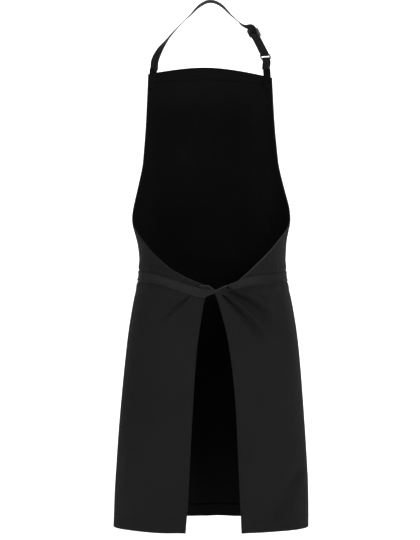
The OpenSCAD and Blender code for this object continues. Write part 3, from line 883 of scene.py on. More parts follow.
backShells, backLinings = {}, {}
for side, word in ((-1, "left"), (1, "right")):
    z = rowsOfBody[rowsOfBody <= seamTop[side]]
    low, high = np.full(z.shape, sideSeam), np.maximum(freeEdge(z, side), sideSeam + 0.12)
    shell = clothPiece(word + "BackShell", z, side * low, side * high, panelSetup["backCols"], "shell")
    lining = clothPiece(word + "BackLining", z, side * low, side * high, panelSetup["backCols"], "lining")
    dress(shell, shellTwill, "shell_fabric")
    dress(lining, liningBlack, "lining_fabric")
    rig.replaces(shell, word + "_back_panel", word + "_flap_panel")
    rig.replaces(lining, word + "_back_lining", word + "_flap_lining")
    backShells[word], backLinings[word] = rideFlap(shell, side), rideFlap(lining, side)
print("panels done")

hemWide = panelSetup["hemWide"]
bibTop = apronShape["bibTop"]
hemRows = np.linspace(bibTop - hemWide, bibTop, 9)
bibHem = clothPiece("bibTopHem", hemRows, 0.4 - freeEdge(hemRows), freeEdge(hemRows) - 0.4, 80, "hem")
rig.ride(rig.replaces(dress(bibHem, liningBlack, "lining_fabric"), "bib_top_hem"), "apron")
hemRows = np.linspace(-0.475, -0.475 + hemWide, 9)
frontHem = clothPiece("frontBottomHem", hemRows, -sideSeam, sideSeam, 104, "hem")
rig.ride(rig.replaces(dress(frontHem, liningBlack, "lining_fabric"), "front_bottom_hem"), "apron")
backHems = {}
for side, word in ((-1, "left"), (1, "right")):
    hem = clothPiece(word + "BottomHem", hemRows, side * sideSeam, side * freeEdge(hemRows, side), 44, "hem")
    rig.replaces(dress(hem, shellTwill, "shell_fabric"), word + "_bottom_hem", word + "_flap_hem")
    rideFlap(hem, side)
    ventRows = wingRows[(wingRows > -0.475 + hemWide) & (wingRows < -0.048)]
    ventTo = freeEdge(ventRows, side)
    reach = 0.012 / np.linalg.norm(clothPoint(ventTo, ventRows)[:, :2], axis=1)
    vent = clothPiece(
        word + "VentHem", ventRows, side * (ventTo - np.degrees(reach)), side * ventTo, 4, "hem"
    )
    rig.replaces(dress(vent, shellTwill, "shell_fabric"), word + "_vent_hem")
    backHems[word] = [hem, rideFlap(vent, side)]


def turnedEdge(name, angle, z):
    # a narrow rolled edge: an oblong section carried along the cloth's free edge, wrapping both faces
    point = clothPoint(angle, z, 0.0008)
    out = unit(clothPoint(angle, z, 0.0) - clothPoint(angle, z, 0.003))
    a = np.linspace(0, 2 * np.pi, 13)[:-1]
    section = np.stack([0.0011 * np.cos(a), 0.00115 * np.sin(a)], 1)
    return sectionAlong(name, point, out, section)


for side, word, tipAt in ((-1, "left", -0.0108), (1, "right", -0.0222)):
    z = np.unique(
        np.concatenate(
            [rowsOfBody[rowsOfBody >= tipAt], np.arange(tipAt, 0.01, 0.0004), np.arange(0.01, 0.12, 0.0012)]
        )
    )
    arm = turnedEdge(word + "ArmEdge", side * (freeEdge(z, side) - 0.1), z)
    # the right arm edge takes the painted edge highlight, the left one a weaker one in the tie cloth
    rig.ride(
        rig.replaces(dress(arm, paintedEdgeHighlight if side > 0 else tieTwill, "shell_fabric"), word + "_arm_binding"),
        "apron"
    )
    z = wingRows[wingRows <= (-0.026 if side < 0 else -0.0222)]
    ventEdge = dress(
        turnedEdge(word + "VentEdge", side * (freeEdge(z, side) - 0.2), z), shellTwill, "shell_fabric"
    )
    rideFlap(ventEdge, side)
print("hems and edges done")

# ---- waist ties ----


def surfaceBand(name, which, angles, pleats=0.0):
    # a band laid on the cloth along its table: clothPoint at height +- half its width, lifted and given its
    # thickness;
    # across it the face is crowned by cos, and where it is pulled tight it falls into lengthwise pleats
    size = np.abs(angles)
    height, wide, thick, lift = (curveAt(size, tieTable(which, n)) for n in (1, 2, 3, 4))
    k = np.linspace(-0.5, 0.5, 25)
    z = height[:, None] + wide[:, None] * k[None]
    angle = np.broadcast_to(angles[:, None], z.shape)
    tight = smooth((size - 160) / 12)[:, None]
    folds = pleats * tight * np.sin(2 * np.pi * (2.6 * k[None] + size[:, None] * 0.055))
    ripple = 0.00022 * np.sin(size * 0.55 + 1.0)[:, None] * np.cos(np.pi * k)[None]
    base = tieShape["lift"] + lift[:, None]
    round_ = np.sqrt(np.clip(1 - (2 * np.abs(k)) ** (6 - 3.4 * tight), 0, 1))
    top = base + thick[:, None] * (0.25 + 0.75 * round_) + (folds + ripple) * round_
    low = base + ripple * round_
    return plyPiece(name, clothPoint(angle, z, -top), clothPoint(angle, z, -low))


waistTies = {}
for side, word, node, ends in ((-1, "left", "right_waist_tie", 184.5), (1, "right", "left_waist_tie", 163.4)):
    angles = np.unique(np.concatenate([np.linspace(5.5, 150, 120), np.linspace(150, ends, 90)])) * side
    band = surfaceBand(word + "SideTie", word, angles, 0.0007)
    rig.ride(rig.replaces(dress(band, tieTwill, "tie_fabric"), node), "apron")
    waistTies[word] = band

gather = surfaceBand("tieGather", "gather", -np.linspace(163, 183, 70), 0.0004)
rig.ride(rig.replaces(dress(gather, shellTwill, "shell_fabric"), "tie_crossing"), "apron")
size = np.linspace(166.5, 183, 60)
z = curveAt(size, tieTable("gather", 1)) + curveAt(size, tieTable("gather", 2)) * 0.47
rise = tieShape["lift"] + curveAt(size, tieTable("gather", 4)) + curveAt(size, tieTable("gather", 3)) * 0.5
line = clothPoint(-size, z, -rise)
a = np.linspace(0, 2 * np.pi, 11)[:-1]
gatherEdge = sectionAlong(
    "gatherEdge", line, unit(line - clothPoint(-size, z, 0.002)),
    np.stack([0.0011 * np.cos(a), 0.0012 * np.sin(a)], 1)
)
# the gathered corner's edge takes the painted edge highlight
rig.ride(dress(gatherEdge, paintedEdgeHighlight, "shell_fabric"), "apron")

# ---- front knot, bow and tie ends ----

knotAt = np.array([0.0, 0.1113, 0.0])


def knotPiece(name):
    # a ball stretched sideways, with three wraps of tie pressed round it
    u = np.linspace(0, 2 * np.pi, 73)[:-1]
    v = np.linspace(0.02, np.pi - 0.02, 48)
    U, V = np.meshgrid(u, v)
    x, y, z = np.sin(V) * np.cos(U), np.sin(V) * np.sin(U), np.cos(V)
    slant = z * 2.2 + x * 0.9
    wraps = 1 + 0.09 * np.abs(np.sin(slant * 2.3)) ** 0.5 + 0.02 * np.sin(9 * U) * np.sin(V)
    size = np.array([0.0124, 0.0088, 0.0108])
    grid = np.stack([x, y, z], 2) * size * wraps[..., None]
    grid = grid + knotAt + [0, 0.0020, 0]
    rows, cols = grid.shape[:2]
    at = np.arange(rows * cols).reshape(rows, cols)
    nxt = np.roll(at, -1, 1)
    quads = np.stack([at[:-1].ravel(), nxt[:-1].ravel(), nxt[1:].ravel(), at[1:].ravel()], 1)
    points = np.concatenate([grid.reshape(-1, 3), grid[:1].mean(1), grid[-1:].mean(1)])
    top = np.stack([np.full(cols, rows * cols), nxt[0], at[0]], 1)
    low = np.stack([np.full(cols, rows * cols + 1), at[-1], nxt[-1]], 1)
    uv = np.concatenate([np.stack([U * 0.011, V * 0.009], 2).reshape(-1, 2), [[0, 0], [0, 0.028]]])
    return newMeshMixed(name, points, quads, np.concatenate([top, low]), uv)


knot = dress(knotPiece("frontKnot"), tieTwill, "tie_fabric")
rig.ride(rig.replaces(knot, "front_knot"), "apron")

bowSetup = {"droop": 28.0, "loop": 0.092, "wide": 0.0195, "thick": 0.0012, "tail": 0.235}


def bowLoop(name, side):
    # out from the knot, round a soft bend and back: reach = sin^0.8, opening and splay = sin cos, width
    # swells from a pinch
    s = np.linspace(0, 1, 81)
    droop = math.radians(bowSetup["droop"])
    along = np.array([math.cos(droop) * side, 0, -math.sin(droop)])
    reach = 0.008 + (bowSetup["loop"] - 0.008) * np.sin(np.pi * s) ** 0.8
    opening = (0.0052 * np.sin(np.pi * s) + 0.0012) * np.cos(np.pi * s)
    drop = -0.1 * bowSetup["loop"] * np.sin(np.pi * s) ** 2
    points = knotAt + np.array([0, 0.004, 0]) + along * (reach + 0.0065)[:, None]
    points = points + np.stack([0 * s, opening, drop], 1)
    splay = 0.0085 * np.sin(np.pi * s) * np.cos(np.pi * s)
    points = points + np.array([math.sin(droop) * side, 0, math.cos(droop)]) * splay[:, None]
    t = unit(np.gradient(points, axis=0))
    facing = np.cross(t, np.cross(along, [0, 1, 0]))
    wide = bowSetup["wide"] * (0.55 + 0.45 * smooth(np.sin(np.pi * s) / 0.45))
    base = flatSection(1.0, 0.1)
    wave = 0.0009 * np.sin(6 * np.pi * s)
    section = np.stack(
        [
            base[None, :, 0] * wide[:, None],
            base[None, :, 1] * bowSetup["thick"] / 0.1 + (base[None, :, 0] ** 2 * wave[:, None] * 3)
        ],
        2
    )
    return sectionAlong(name, points, facing, section)


def tieTail(name, side):
    # a hanging end: falls straight with a slow twist, its foot cut square
    s = np.linspace(0, 1, 90)
    start = knotAt + np.array([0.0115 * side, 0.0078, -0.0124])
    points = start + np.stack(
        [
            side * (0.022 * s + 0.005 * np.sin(2.44 * s)),
            0.0015 + 0.006 * np.sin(np.pi * s) + 0.0012 * np.sin(9 * s + side), -bowSetup["tail"] * s
        ], 1
    )
    facing = np.stack([0.25 * np.sin(3.5 * s) * side + 0.12 * np.sin(8 * s), np.ones_like(s), 0 * s], 1)
    wide = bowSetup["wide"] * (0.6 + 0.4 * smooth(s / 0.12))
    base = flatSection(1.0, 0.1)
    cup = 0.0011 * np.sin(5.2 * s + 0.6 * side)
    section = np.stack(
        [
            base[None, :, 0] * wide[:, None],
            base[None, :, 1] * bowSetup["thick"] / 0.1 + base[None, :, 0] ** 2 * cup[:, None] * 3
        ],
        2
    )
    return sectionAlong(name, points, facing, section)


bowLoops, tieTails = {}, {}
for side, word in ((-1, "left"), (1, "right")):
    loop = dress(bowLoop(word + "BowLoop", side), tieTwill, "tie_fabric")
    bowLoops[word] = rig.ride(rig.replaces(loop, word + "_bow_loop"), word + "_bow_loop")
    tail = dress(tieTail(word + "TieTail", side), tieTwill, "tie_fabric")
    tieTails[word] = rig.ride(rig.replaces(tail, word + "_tie_tail"), word + "_tie_tail")
print("ties and bow done")

# ---- neck strap, ring and slider ----

strapSetup = {
    "wide": 0.0157, "thick": 0.0012, "wire": 0.0013, "ringLength": 0.0088, "run": 0.058,
    "foot": (0.10805, 0.06884, 0.400), "footFace": (-0.12, 0.77, 0.63),
    "ringTop": (
        0.1053, 0.046, 0.4254
    ), "runWay": (-25.1, -44, 41), "bars": (-0.88, 0.47, 0), "ringWay": (-0.6, -4.5, 7.2),
    "barDepth": -0.0013, "foldTail": 0.013,
    "route": [
        (-0.1057, 0.056, 0.416), (-0.0957, 0.034, 0.434), (-0.0812, 0.008, 0.4505), (-0.0616, -0.022, 0.469),
        (-0.0376, -0.051, 0.489), (-0.019, -0.071, 0.5045), (0, -0.079, 0.5115), (0.020, -0.072, 0.5055),
        (0.042, -0.050, 0.4875), (0.060, -0.025, 0.476),
    ],
    # twist of the webbing about its run at the foot and each point: 0 is edge on to the back, 90 flat to it
    "twist": [72, 62, 36, 6, -3, -12, -24, -27, -24, -12, -5],
}
flip = np.array([-1.0, 1, 1])
strapFoot, strapFace = np.array(strapSetup["foot"]), unit(np.array(strapSetup["footFace"]))
ringTop = np.array(strapSetup["ringTop"])
runWay = unit(np.array(strapSetup["runWay"], float))


def squareTo(v, axis):
    v = np.array(v, float)
    return unit(v - (v @ axis) * axis)


runWide = squareTo(strapSetup["bars"], runWay)
runFace = np.cross(runWide, runWay)
ringWay = squareTo(strapSetup["ringWay"], runWide)
ringFace = np.cross(runWide, ringWay)
ringFoot = ringTop - ringWay * strapSetup["ringLength"]
turn = strapSetup["wire"] + 0.0005 + strapSetup["thick"] / 2
strapSection = flatSection(strapSetup["wide"], strapSetup["thick"])

last = ringTop + runFace * turn


def twisted(path, degrees):
    # facing = q cos + (q x t) sin: q lies in the plane of the back, square to the run as seen from there
    t = unit(np.gradient(path, axis=0))
    q = unit(np.stack([-t[:, 2], 0 * t[:, 0], t[:, 0]], 1))
    q = unit(q - (q * t).sum(1, keepdims=True) * t)
    return q * np.cos(np.radians(degrees))[:, None] + np.cross(q, t) * np.sin(np.radians(degrees))[:, None]


flatToBack = unit(np.array([runWay[2], 0, -runWay[0]]))
runTwist = math.degrees(math.atan2(runFace @ np.cross(flatToBack, -runWay), runFace @ flatToBack))
rows = [
    strapFoot * flip, *map(np.array, strapSetup["route"]), last + runWay * (strapSetup["run"] + 0.011),
    last + runWay * strapSetup["run"] / 2, last
]
twists = [*strapSetup["twist"], runTwist, runTwist, runTwist]
upTo = len(rows) - 3
count = np.linspace(0, upTo, 24 * upTo)
path = curveAt(count, list(enumerate(rows)))
below = strapFoot * flip + np.array([0.0, 0.0008, -0.0030])
path = np.concatenate([below[None], path])
straight = np.linspace(0, 1, 30)[1:, None]
bight = np.linspace(0, np.pi, 17)[1:, None]
look = twisted(path, curveAt(np.concatenate([[0], count]), list(enumerate(twists))))
path = np.concatenate(
    [
        path, path[-1] * (1 - straight) + last * straight,
        ringTop + runFace * turn * np.cos(bight) - runWay * turn * np.sin(bight)
    ]
)
look = np.concatenate(
    [look, np.repeat(runFace[None], 29, 0), runFace * np.cos(bight) - runWay * np.sin(bight)]
)
neckStrap = dress(sectionAlong("neckStrap", path, look, strapSection), strapWebbing, "webbing")
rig.ride(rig.replaces(neckStrap, "neck_strap"), "neck_strap")
strapLength = np.linalg.norm(np.diff(path, axis=0), axis=1).sum()

far = strapSetup["run"] - strapSetup["foldTail"] - 0.0005
s = np.linspace(0, 1, 40)
path = ringTop + runWay * (0.0003 + (far - 0.0003) * s)[:, None] + runFace * (
    -turn + (strapSetup["barDepth"] + turn) * smooth(s)
)[:, None]
strapReturn = dress(
    sectionAlong("strapReturn", path, np.repeat(-runFace[None], 40, 0), strapSection), strapWebbing,
    "webbing"
)
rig.ride(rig.replaces(strapReturn, "neck_strap_return"), "neck_strap")
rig.squash(strapReturn, "slider_slide", axis=tuple(runWay), anchor=tuple(ringTop), keep=(far - 0.028) / far)

tabTo = ringFoot - ringWay * 0.003
leave, arrive = squareTo((0, -0.6, 0.77), strapFace) * 0.018, ringWay * 0.018
ease = lambda s: smooth(s / 0.85)
climb, drop = np.linspace(-0.06, 1, 26), np.linspace(1, 0.06, 24)
half = strapSetup["thick"] * 0.6


def tabWay(s, side):
    # middle line: cubic from the bib to the ring's lower bar, each ply to one side of it
    c = s[:, None]
    middle = strapFoot * (1 - 3 * c**2 + 2 * c**3) + tabTo * (3 * c**2 - 2 * c**3)
    middle = middle + leave * (c**3 - 2 * c**2 + c) + arrive * (c**3 - c**2)
    return middle + ringFace * side * (half + (turn - half) * ease(s))[:, None]


def tabLook(s):
    return ringFace * ease(s)[:, None] + strapFace * (1 - ease(s))[:, None]


a = np.linspace(-np.pi / 2, np.pi / 2, 17)[:, None]
path = np.concatenate(
    [tabWay(climb, 1), ringFoot - ringFace * turn * np.sin(a) + ringWay * turn * np.cos(a), tabWay(drop, -1)]
)
look = np.concatenate([tabLook(climb), -ringFace * np.sin(a) + ringWay * np.cos(a), -tabLook(drop)])
ringTab = dress(
    sectionAlong("ringTab", path, look, flatSection(strapSetup["wide"] - 0.001, strapSetup["thick"])),
    strapWebbing, "webbing"
)
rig.ride(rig.replaces(ringTab, "ring_tab"), "neck_strap")
tabLength = np.linalg.norm(np.diff(path, axis=0), axis=1).sum()


def inFrame(local, at, wide, up, face):
    # x across the strap, y up it, z out of its face
    return at + local[..., :1] * wide + local[..., 1:2] * up + local[..., 2:] * face


def roundedLoop(halfX, low, high, r, count=10):
    # a rectangle with round corners as a closed run of (x, y) points
    a = np.linspace(0, np.pi / 2, count)
    corners = []
    for cx, cy, turnBy in (
        (halfX - r, high - r, 0), (-halfX + r, high - r, 1), (-halfX + r, low + r, 2),
        (halfX - r, low + r, 3)
    ):
        corners.append(
            np.stack([cx + r * np.cos(a + turnBy * np.pi / 2), cy + r * np.sin(a + turnBy * np.pi / 2)], 1)
        )
    loop = np.concatenate(corners)
    # even the spacing along the run
    closedLoop = np.concatenate([loop, loop[:1]])
    run = np.concatenate([[0], np.cumsum(np.linalg.norm(np.diff(closedLoop, axis=0), axis=1))])
    even = np.linspace(0, run[-1], 121)[:-1]
    return np.stack([np.interp(even, run, closedLoop[:, 0]), np.interp(even, run, closedLoop[:, 1])], 1)


wire = strapSetup["wire"]
loop = roundedLoop(strapSetup["wide"] / 2 + 0.0008 + wire, 0.0, strapSetup["ringLength"], 0.0015)
local = np.concatenate([loop, np.zeros((len(loop), 1))], 1)
a = np.linspace(0, 2 * np.pi, 15)[:-1]
wireSection = np.stack([wire * np.cos(a), wire * np.sin(a)], 1)
ringPiece = sectionAlong(
    "adjusterRing", inFrame(local, ringFoot, -runWide, ringWay, ringFace),
    np.repeat(ringFace[None], len(loop), 0), wireSection, closed=True
)
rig.ride(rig.replaces(dress(ringPiece, buckleBlack, "buckle_plastic"), "adjuster_ring"), "adjuster_ring")

sliderMid = ringTop + runWay * strapSetup["run"]


def roundedBox(low, high, power=5.0, n=26):
    # superellipsoid: each of cos and sin raised to 2 / power, with its sign kept
    low, high = np.array(low, float), np.array(high, float)
    u = np.linspace(-np.pi, np.pi, 4 * n // 2 + 1)[:-1]
    v = np.linspace(-np.pi / 2 + 0.06, np.pi / 2 - 0.06, n)
    U, V = np.meshgrid(u, v)
    e = 2 / power
    p = lambda w: np.sign(w) * np.abs(w) ** e
    grid = np.stack([p(np.cos(V)) * p(np.cos(U)), p(np.cos(V)) * p(np.sin(U)), p(np.sin(V))], 2)
    grid = grid * (high - low) / 2 + (high + low) / 2
    rows, cols = grid.shape[:2]
    at = np.arange(rows * cols).reshape(rows, cols)
    nxt = np.roll(at, -1, 1)
    quads = np.stack([at[:-1].ravel(), nxt[:-1].ravel(), nxt[1:].ravel(), at[1:].ravel()], 1)
    points = np.concatenate([grid.reshape(-1, 3), grid[:1].mean(1), grid[-1:].mean(1)])
    m = rows * cols
    tris = np.concatenate(
        [np.stack([np.full(cols, m), nxt[0], at[0]], 1), np.stack([np.full(cols, m + 1), at[-1], nxt[-1]], 1)]
    )
    return points, quads, tris


def joinedBoxes(name, boxes, at, wide, up, face):
    points, quads, tris, n = [], [], [], 0
    for box in boxes:
        p, q, t = roundedBox(*box)
        c = p.mean(0)
        vol = np.einsum("ij,ij->i", p[q[:, 0]] - c, np.cross(p[q[:, 1]] - c, p[q[:, 2]] - c)).sum()
        if vol < 0:
            q, t = q[:, ::-1], t[:, ::-1]
        points.append(inFrame(p, at, wide, up, face)); quads.append(q + n); tris.append(t + n)
        n += len(p)
    points = np.concatenate(points)
    return newMeshMixed(name, points, np.concatenate(quads), np.concatenate(tris), points[:, :2])


inner, rail, barT, slideLength = strapSetup["wide"] / 2 + 0.0006, 0.0026, 0.0015, 0.019
topOf = turn + strapSetup["thick"] / 2 + 0.00035
lowOf = strapSetup["barDepth"] - 0.0016
slider = joinedBoxes(
    "adjusterSlider",
    [
        ((-inner - rail, -slideLength / 2, lowOf), (-inner, slideLength / 2, topOf + barT)),
        ((inner, -slideLength / 2, lowOf), (inner + rail, slideLength / 2, topOf + barT)),
        (
            (-inner - 0.0012, -slideLength / 2, topOf),
            (inner + 0.0012, -slideLength / 2 + 0.0036, topOf + barT)
        ),
        ((-inner - 0.0012, slideLength / 2 - 0.0036, topOf), (inner + 0.0012, slideLength / 2, topOf + barT)),
        (
            (-inner - 0.0008, -0.0012, strapSetup["barDepth"] - 0.0012),
            (inner + 0.0008, 0.0012, strapSetup["barDepth"] + 0.0012), 2.2
        ),
    ],
    sliderMid, -runWide, runWay, runFace,
)
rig.ride(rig.replaces(dress(slider, buckleBlack, "buckle_plastic"), "adjuster_slider"), "adjuster_slider")

# the strap's end, folded round the slider's middle bar and sewn to itself
r = 0.00132 + strapSetup["thick"] / 2
a = np.linspace(-np.pi / 2, np.pi / 2, 15)
endRun = np.concatenate([
    np.stack([np.linspace(-strapSetup["foldTail"], -0.003, 12), np.full(12, -0.00062)], 1),
    [[-0.0015, -0.0011]],
    np.stack([r * np.cos(a), r * np.sin(a)], 1),
    [[-0.0015, 0.0011]],
    np.stack([np.linspace(-0.003, -strapSetup["foldTail"], 12), np.full(12, 0.00062)], 1),
])
t = unit(np.gradient(endRun, axis=0))
local = np.stack([np.zeros(len(endRun)), endRun[:, 0], endRun[:, 1]], 1) + [0, 0, strapSetup["barDepth"]]
faceLocal = np.stack([np.zeros(len(endRun)), t[:, 1], -t[:, 0]], 1)
path = inFrame(local, sliderMid, -runWide, runWay, runFace)
look = faceLocal[:, 1:2] * runWay + faceLocal[:, 2:] * runFace
strapEnd = dress(sectionAlong("strapEndFold", path, look, strapSection), strapWebbing, "webbing")
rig.ride(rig.replaces(strapEnd, "strap_end_fold"), "adjuster_slider")

# the sewn feet inside the bib's corners
turnBy = math.degrees(strapSetup["wide"] / 2 / np.linalg.norm(clothPoint(57.5, 0.39, 0.004)[:2]))
anchorRows = np.linspace(0.362, 0.4008, 17)
for side, node, name in (
    (-1, "left_strap_anchor", "leftStrapAnchor"), (1, "right_tab_anchor", "rightTabAnchor")
):
    anchor = clothPiece(
        name, anchorRows, side * (57.5 - turnBy), side * (57.5 + turnBy), 8, "anchor", level=True
    )
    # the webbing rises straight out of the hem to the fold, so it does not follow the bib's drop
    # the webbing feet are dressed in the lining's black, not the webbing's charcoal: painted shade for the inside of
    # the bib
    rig.ride(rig.replaces(dress(anchor, liningBlack, "webbing"), node), "apron")
print("straps done: webbing", round(float(strapLength), 3), "m, tab", round(float(tabLength), 3), "m")

# ---- stitching ----

stitchSetup = {"pitch": 0.0032, "long": 0.0024, "thick": 0.00042}


def stitchRow(name, line, out, wide=None, pitch=None, thread=None):
    # small beads laid end to end: each is a six-sided spindle along the seam, standing half out of the cloth
    line, out = np.asarray(line, float), np.asarray(out, float)
    run = np.concatenate([[0], np.cumsum(np.linalg.norm(np.diff(line, axis=0), axis=1))])
    count = max(2, int(run[-1] / (pitch or stitchSetup["pitch"])))
    at = (np.arange(count) + 0.5) * run[-1] / count
    place = np.stack([np.interp(at, run, line[:, k]) for k in range(3)], 1)
    ahead = np.stack([np.interp(at + 0.0005, run, line[:, k]) for k in range(3)], 1)
    behind = np.stack([np.interp(at - 0.0005, run, line[:, k]) for k in range(3)], 1)
    facing = np.stack([np.interp(at, run, out[:, k]) for k in range(3)], 1)
    t = unit(ahead - behind)
    f = unit(facing - (facing * t).sum(1, keepdims=True) * t)
    w = np.cross(t, f)
    k = np.arange(6) * np.pi / 3
    halfLong, thick = stitchSetup["long"] / 2, wide or stitchSetup["thick"]
    rings = []
    for x, r in ((-1, 0.35), (-0.55, 1.0), (0.55, 1.0), (1, 0.35)):
        rings.append(
            np.stack([np.full(6, x * halfLong), r * thick * np.cos(k), r * thick * 0.8 * np.sin(k)], 1)
        )
    local = np.concatenate(rings)
    points = place[:, None] + t[:, None] * local[None, :, :1] + w[:, None] * local[
        None, :, 1:2
    ] + f[:, None] * local[None, :, 2:]
    ring = np.arange(24).reshape(4, 6)
    nxt = np.roll(ring, -1, 1)
    quads = np.stack([ring[:-1].ravel(), nxt[:-1].ravel(), nxt[1:].ravel(), ring[1:].ravel()], 1)
    ends = np.array([[0, 1, 2, 3], [0, 3, 4, 5], [21, 20, 19, 18], [23, 22, 21, 18]])
    template = np.concatenate([quads, ends])
    faces = (template[None] + (np.arange(count) * 24)[:, None, None]).reshape(-1, 4)
    uv = np.tile(local[:, :2], (count, 1))
    return dress(newMesh(name, points.reshape(-1, 3), faces, uv), thread or seamThread, "thread")


def rowAlong(angle, z, inset=-0.0001):
    point = clothPoint(angle, z, inset)
    return point, unit(clothPoint(angle, z, inset - 0.003) - point)


zFoot = apronShape["hem"] + panelSetup["footStitch"]
line, out = rowAlong(np.linspace(-94.5, 94.5, 700), np.full(700, zFoot))
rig.ride(stitchRow("frontHemStitch", line, out), "apron")
zTop = bibTop - panelSetup["bibStitch"]
line, out = rowAlong(np.linspace(-60, 60, 400), np.full(400, zTop))
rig.ride(stitchRow("bibHemStitch", line, out), "apron")
inside = clothPoint(np.linspace(-60, 60, 400), np.full(400, zTop), 0.0031)
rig.ride(stitchRow("bibHemStitchInside", inside, -out, thread=insideThread), "apron")
inside = clothPoint(np.linspace(-94.5, 94.5, 700), np.full(700, zFoot), 0.0031)
_, out = rowAlong(np.linspace(-94.5, 94.5, 700), np.full(700, zFoot))
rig.ride(stitchRow("frontHemStitchInside", inside, -out, thread=insideThread), "apron")
for side, word, lowest in ((-1, "left", 0.004), (1, "right", 0.006)):
    z = rowsOfBody[rowsOfBody >= lowest]
    z = np.unique(np.concatenate([z, np.arange(lowest, 0.12, 0.0012)]))
    edge = freeEdge(z, side)
    inBy = np.degrees(0.0062 / np.linalg.norm(clothPoint(edge, z)[:, :2], axis=1))
    # the seam keeps its distance from an edge that runs aslant
    slantBy = np.clip(np.abs(np.gradient(np.radians(edge), z)) * 0.13, 0, 6)
    line, out = rowAlong(side * (edge - inBy * np.sqrt(1 + slantBy**2)), z)
    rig.ride(stitchRow(word + "ArmStitch", line, out), "apron")
    z = wingRows[(wingRows > -0.475 + 0.002) & (wingRows < -0.055)]
    edge = freeEdge(z, side)
    inBy = np.degrees(0.0105 / np.linalg.norm(clothPoint(edge, z)[:, :2], axis=1))
    line, out = rowAlong(side * (edge - inBy), z)
    rideFlap(stitchRow(word + "VentStitch", line, out), side)
    a = np.linspace(95.5, float(freeEdge(-0.454, side)) - 1.0, 300)
    line, out = rowAlong(side * a, np.full(300, -0.475 + 0.021))
    rideFlap(stitchRow(word + "HemStitch", line, out), side)
    z = wingRows[wingRows < 0.088]
    for offset, which in ((1.1, "A"), (3.2, "B")):
        line, out = rowAlong(np.full(len(z), side * (sideSeam + offset)), z)
        keep = np.abs(z - tieHeight(line[:, 0] * 0 + side * sideSeam)) > 0.013
        low, high = line[: int(np.argmin(keep))], line[len(keep) - int(np.argmin(keep[::-1])) :]
        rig.ride(stitchRow(word + "SeamStitch" + which, low, out[: len(low)]), "apron")
        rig.ride(stitchRow(word + "SeamStitchUpper" + which, high, out[-len(high) :]), "apron")
    angles = np.linspace(7, 156 if side < 0 else 150, 400) * side
    for offset, which in ((0.0072, "Top"), (-0.0072, "Low")):
        line = clothPoint(
            angles, tieHeight(angles) + offset, -(tieShape["lift"] + tieShape["thick"] + 0.0002)
        )
        back = clothPoint(angles, tieHeight(angles) + offset, 0.0)
        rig.ride(stitchRow(word + "TieStitch" + which, line, unit(line - back)), "apron")

# bartacks: short dense bars of thread
for side, word in ((-1, "left"), (1, "right")):
    for k, z0 in enumerate((0.367, 0.381)):
        a = np.linspace(57.5 - turnBy * 0.85, 57.5 + turnBy * 0.85, 40) * side
        line, out = rowAlong(a, np.full(40, z0))
        tack = stitchRow("{}StrapTack{}".format(word, k), line, out, 0.0007, 0.0019)
        if word == "left" and k == 0:
            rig.replaces(tack, "strap_bartacks")
        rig.ride(tack, "apron")
        inner_ = clothPoint(a, np.full(40, z0), layers["anchor"][1] + 0.0001, level=True)
        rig.ride(
            stitchRow("{}StrapTackInside{}".format(word, k), inner_, -out, 0.0007, 0.0019, insideThread),
            "apron"
        )
    a = np.full(30, (160.0 if side < 0 else 154.5) * side)
    z = tieHeight(a) + np.linspace(-0.006, 0.006, 30)
    line = clothPoint(a, z, -(tieShape["lift"] + tieShape["thick"] + 0.0004))
    tack = stitchRow(word + "TieTack", line, unit(line - clothPoint(a, z, 0.0)), 0.0006, 0.0016)
    if word == "left":
        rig.replaces(tack, "tie_bartacks")
    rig.ride(tack, "apron")
print("stitching done")

# ---- what each cloth piece was cut to ----

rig.sheet(
    frontShell, flat=(0.60, 0.90), held="hung", rests_on=["neckStrap"], area=0.39,
    with_pieces=[frontHem, bibHem]
)
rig.sheet(frontLining, flat=(0.60, 0.90), held="hung", rests_on=["frontShell"], area=0.39)
for word in ("left", "right"):
    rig.sheet(
        backShells[word], flat=(0.20, 0.57), held="hung", rests_on=["frontShell"], area=0.09,
        with_pieces=backHems[word]
    )
    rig.sheet(backLinings[word], flat=(0.20, 0.57), held="hung", rests_on=[word + "BackShell"], area=0.09)
    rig.sheet(waistTies[word], flat=(0.0185, 0.38), held="stretched", rests_on=[word + "BackShell"])
    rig.sheet(bowLoops[word], flat=(0.0195, 0.19), held="folded", rests_on=["frontKnot"])
    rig.sheet(tieTails[word], flat=(0.0195, 0.235), held="hung", rests_on=["frontKnot"])
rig.sheet(
    gather, flat=(0.012, 0.024), held="gathered", rests_on=["leftSideTie", "rightSideTie"],
    with_pieces=[gatherEdge]
)
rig.sheet(
    neckStrap, flat=(0.0157, round(float(strapLength), 3)), held="stretched", rests_on=["adjusterRing"],
    with_pieces=[ringTab, strapReturn, strapEnd]
)

# ---- floor and light ----

stageSetup = {"floorAt": -0.62, "glow": 0.75, "world": 0.24, "key": 122.0, "fill": 38.0}

floorMesh = bpy.data.meshes.new("floor")
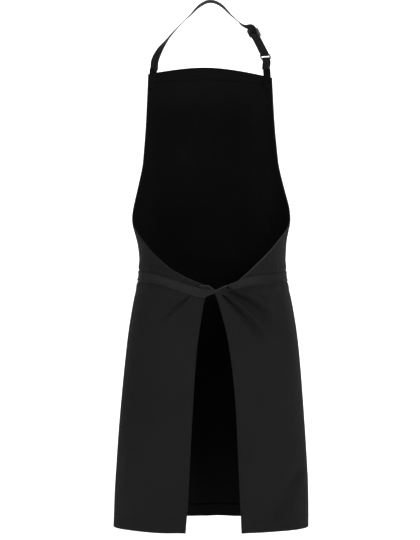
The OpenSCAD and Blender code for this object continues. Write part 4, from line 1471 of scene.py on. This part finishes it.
# a floor that sweeps up into a wall behind: radius 1.5 m
s = np.linspace(0, 1, 40)
runY = np.concatenate([np.linspace(-8, 3.5, 30), 3.5 + 1.5 * np.sin(s * np.pi / 2), np.full(8, 5.0)])
runZ = np.concatenate(
    [np.zeros(30), 1.5 * (1 - np.cos(s * np.pi / 2)), np.linspace(1.6, 9, 8)]
) + stageSetup["floorAt"]
n = len(runY)
pts = np.concatenate([np.stack([np.full(n, x), runY, runZ], 1) for x in (-9.0, 9.0)])
i = np.arange(n - 1)
floorMesh.from_pydata(pts.tolist(), [], np.stack([i, i + n, i + n + 1, i + 1], 1).tolist())
floorMesh.polygons.foreach_set("use_smooth", np.ones(n - 1, bool))
floor = bpy.data.objects.new("floor", floorMesh)
scene.collection.objects.link(floor)
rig.stage(floor)
paper = bpy.data.materials.new("palePaper")
tree = nodeTree(paper)
out, shader = tree.nodes.new("ShaderNodeOutputMaterial"), tree.nodes.new("ShaderNodeBsdfPrincipled")
tree.links.new(shader.outputs[0], out.inputs[0])
noise, place, ramp = tree.nodes.new(
    "ShaderNodeTexNoise"
), tree.nodes.new("ShaderNodeTexCoord"), tree.nodes.new("ShaderNodeValToRGB")
tree.links.new(place.outputs["Object"], noise.inputs["Vector"])
noise.inputs["Scale"].default_value = 3.0
ramp.color_ramp.elements[0].color = (0.86, 0.86, 0.86, 1)
ramp.color_ramp.elements[1].color = (0.90, 0.90, 0.90, 1)
tree.links.new(noise.outputs["Fac"], ramp.inputs[0])
tree.links.new(ramp.outputs[0], shader.inputs["Base Color"])
shader.inputs["Roughness"].default_value = 0.9
shader.inputs["Emission Color"].default_value = (1, 1, 1, 1)
shader.inputs["Emission Strength"].default_value = stageSetup["glow"]
floor.data.materials.append(paper)

world = bpy.data.worlds.new("softSky")
scene.world = world
world.use_nodes = True
world.node_tree.nodes["Background"].inputs[0].default_value = (1, 1, 1, 1)
world.node_tree.nodes["Background"].inputs[1].default_value = stageSetup["world"]


def areaLight(name, at, aim, size, power):
    data = bpy.data.lights.new(name, "AREA")
    data.shape = "RECTANGLE"
    data.size, data.size_y = size
    data.energy = power
    lamp = bpy.data.objects.new(name, data)
    lamp.location = at
    lamp.rotation_euler = (Vector(aim) - Vector(at)).to_track_quat("-Z", "Y").to_euler()
    scene.collection.objects.link(lamp)


areaLight("keySoftbox", (1.9, -3.0, 2.0), (0, 0, 0), (1.3, 1.3), stageSetup["key"])
areaLight("fillSoftbox", (-2.5, -2.7, 0.5), (0, 0, 0), (1.8, 1.8), stageSetup["fill"])
print("stage done")

low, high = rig.bounds()
with open("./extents.json", "w") as f:
    json.dump({"cad": [list(cadLow), list(cadHigh)], "visual": [list(low), list(high)]}, f)
